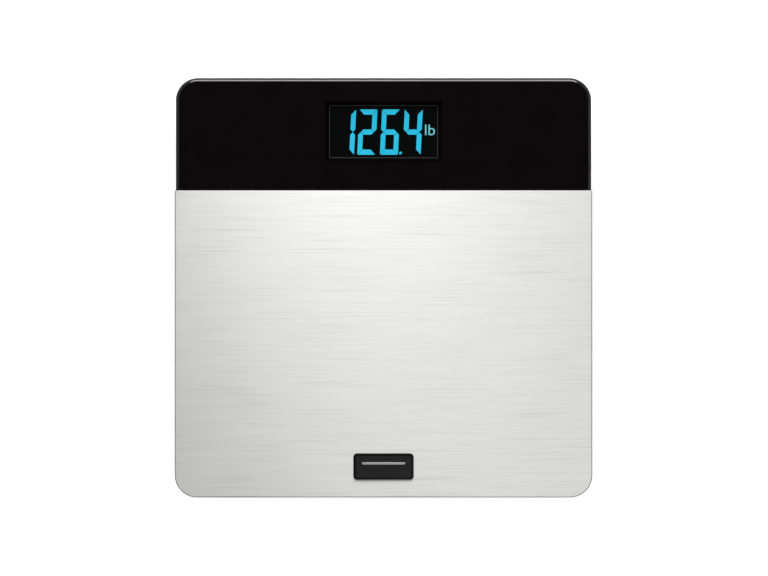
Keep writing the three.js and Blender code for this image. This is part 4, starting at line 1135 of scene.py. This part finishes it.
for row in GRIP_ROWS:
    add_slab(
        door_cut_bm, -GRIP_HALF_WIDTH, GRIP_HALF_WIDTH, row * MM - GROOVE_HALF, row * MM + GROOVE_HALF,
        PANEL_BOTTOM - PAST, PANEL_BOTTOM + GRIP_DEPTH, GROOVE_END_ROUND, 4,
    )
carve(door, closed(door_cut_bm))
soften(door, 0.12 * MM, 1, 55)
coat(door, moulded_black("door_plastic", 0.035))


# ------------------------------------------------------------------ wire covers
# A T of square channel on each side, open towards the glass and glued under it. It holds
# the load cell leads on their way from the two feet to the housing.
CHANNEL_HALF = 4.7 * MM
CHANNEL_WALL = 1.2 * MM
CHANNEL_ROUND = 0.5 * MM
RUN_X = 112 * MM
BRANCH_Y = 70 * MM
BRANCH_NEAR = 60.4 * MM
BRANCH_WAY_NEAR = 59 * MM

for side, side_name in ((-1, "left"), (1, "right")):
    channel_node = "wire_cover_" + side_name
    channel_low, channel_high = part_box(channel_node)
    way_half = CHANNEL_HALF - CHANNEL_WALL
    way_heights = (channel_low.z + CHANNEL_WALL, channel_high.z + PAST)
    run = (*on_side(side, RUN_X - CHANNEL_HALF, RUN_X + CHANNEL_HALF), channel_low.y, channel_high.y)
    branch = (*on_side(side, BRANCH_NEAR, RUN_X), BRANCH_Y - CHANNEL_HALF, BRANCH_Y + CHANNEL_HALF)
    run_way = (
        *on_side(side, RUN_X - way_half, RUN_X + way_half), channel_low.y - PAST, channel_high.y + PAST,
    )
    branch_way = (*on_side(side, BRANCH_WAY_NEAR, RUN_X), BRANCH_Y - way_half, BRANCH_Y + way_half)
    wire_channel = make_piece(
        "channel_" + side_name, slab(*run, channel_low.z, channel_high.z), "platform", "housing_plastic",
        channel_node,
    )
    carve(wire_channel, slab(*branch, channel_low.z, channel_high.z), "UNION")
    carve(wire_channel, slab(*run_way, *way_heights))
    carve(wire_channel, slab(*branch_way, *way_heights))
    soften(wire_channel, CHANNEL_ROUND, 3, 55)
    coat(wire_channel, moulded_black("channel_plastic_" + side_name))


# ------------------------------------------------------------------ batteries
# Three AAA cells side by side, the middle one turned round. Each has a printed jacket
# rolled over its ends, a nickel can and a raised terminal.
CELL_RADIUS = 5.25
CELL_LENGTH = 44.5
NUB_RADIUS = 1.9
NUB_HEIGHT = 0.8
CAN_END_RADIUS = 4.4 * MM
BAND_START = 30 * MM
CELLS = ((1, 1), (2, -1), (3, 1))

cell_body = CELL_LENGTH - NUB_HEIGHT
cell_profile = (
    (0, 0.12), (3.6, 0.12), (4.3, 0.12), (4.35, 0.0), (4.85, 0.0), (5.15, 0.15), (CELL_RADIUS, 0.5),
    (CELL_RADIUS, 20.0), (CELL_RADIUS, 30.0), (CELL_RADIUS, cell_body - 0.5), (5.15, cell_body - 0.12),
    (4.85, cell_body), (4.4, cell_body), (4.3, cell_body - 0.2), (2.6, cell_body - 0.2),
    (2.2, cell_body - 0.1), (NUB_RADIUS, cell_body + 0.1), (NUB_RADIUS, CELL_LENGTH - 0.2),
    (1.7, CELL_LENGTH), (0, CELL_LENGTH),
)
jacket_dark = Finish("cell_jacket", (0.02, 0.05, 0.13), 0.3)
jacket_dark.shader.inputs["Coat Weight"].default_value = 0.6
jacket_dark.shader.inputs["Coat Roughness"].default_value = 0.15
jacket_dark.mottle((0.016, 0.042, 0.12), (0.024, 0.06, 0.155), 90, 4.0)
jacket_dark.polish(0.25, 0.38, 600, 3.0)
jacket_light = Finish("cell_band", (0.5, 0.5, 0.48), 0.35, 0.8)
jacket_light.mottle((0.44, 0.44, 0.43), (0.55, 0.55, 0.53), 160, 4.0)
jacket_light.polish(0.28, 0.45, 900, 3.0)

for cell_number, points_to in CELLS:
    cell_low, cell_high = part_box(f"battery_{cell_number}")
    cell_y = (cell_low.y + cell_high.y) / 2
    cell_z = (cell_low.z + cell_high.z) / 2
    cell_bm = spun(cell_profile, 48)
    for cell_face in cell_bm.faces:
        middle_point = cell_face.calc_center_median()
        from_axis = math.hypot(middle_point.x, middle_point.y)
        if from_axis < CAN_END_RADIUS:
            cell_face.material_index = 2
        else:
            cell_face.material_index = int(middle_point.z > BAND_START)
    turn = Matrix.Rotation(points_to * math.pi / 2, 3, "Y")
    bmesh.ops.rotate(cell_bm, cent=(0, 0, 0), matrix=turn, verts=cell_bm.verts)
    cell_start = cell_low.x if points_to > 0 else cell_high.x
    bmesh.ops.translate(cell_bm, vec=(cell_start, cell_y, cell_z), verts=cell_bm.verts)
    cell = make_piece(f"cell_{cell_number}", cell_bm, "platform", "battery_wrap", f"battery_{cell_number}")
    coat(cell, jacket_dark, jacket_light, nickel)


# ------------------------------------------------------------------ contact springs
# A conical coil of nickel-plated wire presses on the flat end of each cell.
WIRE_RADIUS = 0.3 * MM
SPRING_TURNS = 3
SPRING_INNER = 2.0 * MM
SPRING_OUTER = 3.8 * MM
SPRING_START = 19.75 * MM
SPRING_END = 24.95 * MM
POINTS_PER_TURN = 28

coil_steps = SPRING_TURNS * POINTS_PER_TURN
for spring_number, points_to in CELLS:
    cell_low, cell_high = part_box(f"battery_{spring_number}")
    coil_y = (cell_low.y + cell_high.y) / 2
    coil_z = (cell_low.z + cell_high.z) / 2
    coil_curve = bpy.data.curves.new("coil", "CURVE")
    coil_curve.dimensions = "3D"
    coil_curve.bevel_depth = WIRE_RADIUS
    coil_curve.bevel_resolution = 3
    coil_curve.use_fill_caps = True
    coil_line = coil_curve.splines.new("POLY")
    coil_line.points.add(coil_steps)
    for step in range(coil_steps + 1):
        part = step / coil_steps
        angle = part * SPRING_TURNS * 2 * math.pi
        radius = SPRING_INNER + (SPRING_OUTER - SPRING_INNER) * part
        along = SPRING_START + (SPRING_END - SPRING_START) * part
        coil_line.points[step].co = (
            -points_to * along, coil_y + radius * math.cos(angle), coil_z + radius * math.sin(angle), 1,
        )
    coil_bm = meshed(coil_curve)
    bmesh.ops.remove_doubles(coil_bm, verts=coil_bm.verts, dist=0.001 * MM)
    coil = make_piece(
        f"coil_{spring_number}", closed(coil_bm), "platform", "nickel_plate",
        f"contact_spring_{spring_number}",
    )
    coat(coil, nickel)


# ------------------------------------------------------------------ pieces kept as they are
# Flat and hidden pieces keep their shape and get a finish of their own: stamped nickel
# contact plates, steel load cells, sheathed leads, green circuit board, striped rubber
# connector, clear backlight, black switch and milky adhesive.
def dress(finish, *names):
    """Gives the finish to each named piece, in place of its plain one."""
    for name in names:
        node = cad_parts[name]
        node.data.materials.clear()
        coat(node, finish)


PLATES = ("left_single", "left_pair", "right_pair", "right_single")
dress(nickel, *("contact_" + name for name in PLATES))

cell_steel = Finish("load_cell_steel", (0.42, 0.42, 0.41), 0.35, 1.0)
cell_steel.mottle((0.36, 0.36, 0.35), (0.46, 0.46, 0.45), 300, 4.0)
cell_steel.roughness(cell_steel.between(cell_steel.noise(1500, 3.0, (1, 0.1, 1)), 0.28, 0.45))
dress(cell_steel, *("load_cell_" + name for name in CORNERS))


def sheathed(name, first, second):
    """A soft lead's sheath: one dyed colour, faintly uneven and slightly glossy."""
    made = Finish(name, first, 0.45)
    made.mottle(first, second, 400, 3.0)
    made.polish(0.35, 0.55, 900)
    made.grain(0.02 * MM, 0.4, 1800)
    return made


grey_sheath = sheathed("grey_sheath", (0.05, 0.05, 0.052), (0.07, 0.07, 0.072))
dress(grey_sheath, *("load_cell_lead_" + name for name in CORNERS))
dress(sheathed("black_sheath", (0.008, 0.008, 0.008), (0.016, 0.016, 0.016)), "battery_lead_left")
dress(sheathed("red_sheath", (0.32, 0.012, 0.01), (0.42, 0.02, 0.015)), "battery_lead_right")

board = Finish("green_board", (0.01, 0.09, 0.03), 0.35)
board.mottle((0.008, 0.075, 0.024), (0.014, 0.11, 0.04), 500)
board.polish(0.28, 0.45, 1800)
board.grain(0.03 * MM, 0.4, 900, 3.0)
dress(board, "main_board")

resin = Finish("potting_resin", (0.008, 0.008, 0.008), 0.3)
resin.mottle((0.006, 0.006, 0.006), (0.014, 0.014, 0.014), 300, 3.0)
resin.grain(0.1 * MM, 0.4, 250, 3.0)
dress(resin, "chip_cover")

connector = Finish("striped_rubber", (0.5, 0.4, 0.38), 0.7)
stripes = connector.node("ShaderNodeTexWave", bands_direction="X")
stripes.inputs["Scale"].default_value = 1500
connector.link(connector.coordinates.outputs["Object"], stripes.inputs["Vector"])
connector.colour(connector.tint(stripes.outputs["Fac"], (0.03, 0.03, 0.03), (0.55, 0.42, 0.4), 0.45, 0.55))
dress(connector, "zebra_strip")

light_guide = Finish("light_guide", (0.75, 0.8, 0.82), 0.15)
light_guide.shader.inputs["Transmission Weight"].default_value = 0.5
light_guide.mottle((0.7, 0.76, 0.8), (0.8, 0.85, 0.88), 800)
light_guide.polish(0.1, 0.25, 2000)
dress(light_guide, "backlight_guide")

lamp_white = Finish("white_plastic", (0.75, 0.75, 0.73), 0.4)
lamp_white.mottle((0.7, 0.7, 0.68), (0.78, 0.78, 0.76), 600, 3.0)
lamp_white.polish(0.3, 0.5, 1500)
dress(lamp_white, "backlight_led", "switch_plunger")

switch_case = Finish("switch_case", (0.02, 0.02, 0.02), 0.45)
switch_case.mottle((0.015, 0.015, 0.015), (0.028, 0.028, 0.028), 800, 3.0)
switch_case.polish(0.35, 0.55, 1500)
dress(switch_case, "switch_body")

film_glue = Finish("adhesive_film", (0.6, 0.6, 0.56), 0.5)
film_glue.mottle((0.52, 0.52, 0.48), (0.66, 0.66, 0.62), 150, 4.0)
film_glue.polish(0.4, 0.6, 700)
film_glue.grain(0.03 * MM, 0.4, 300, 4.0)
dress(film_glue, "tread_adhesive")
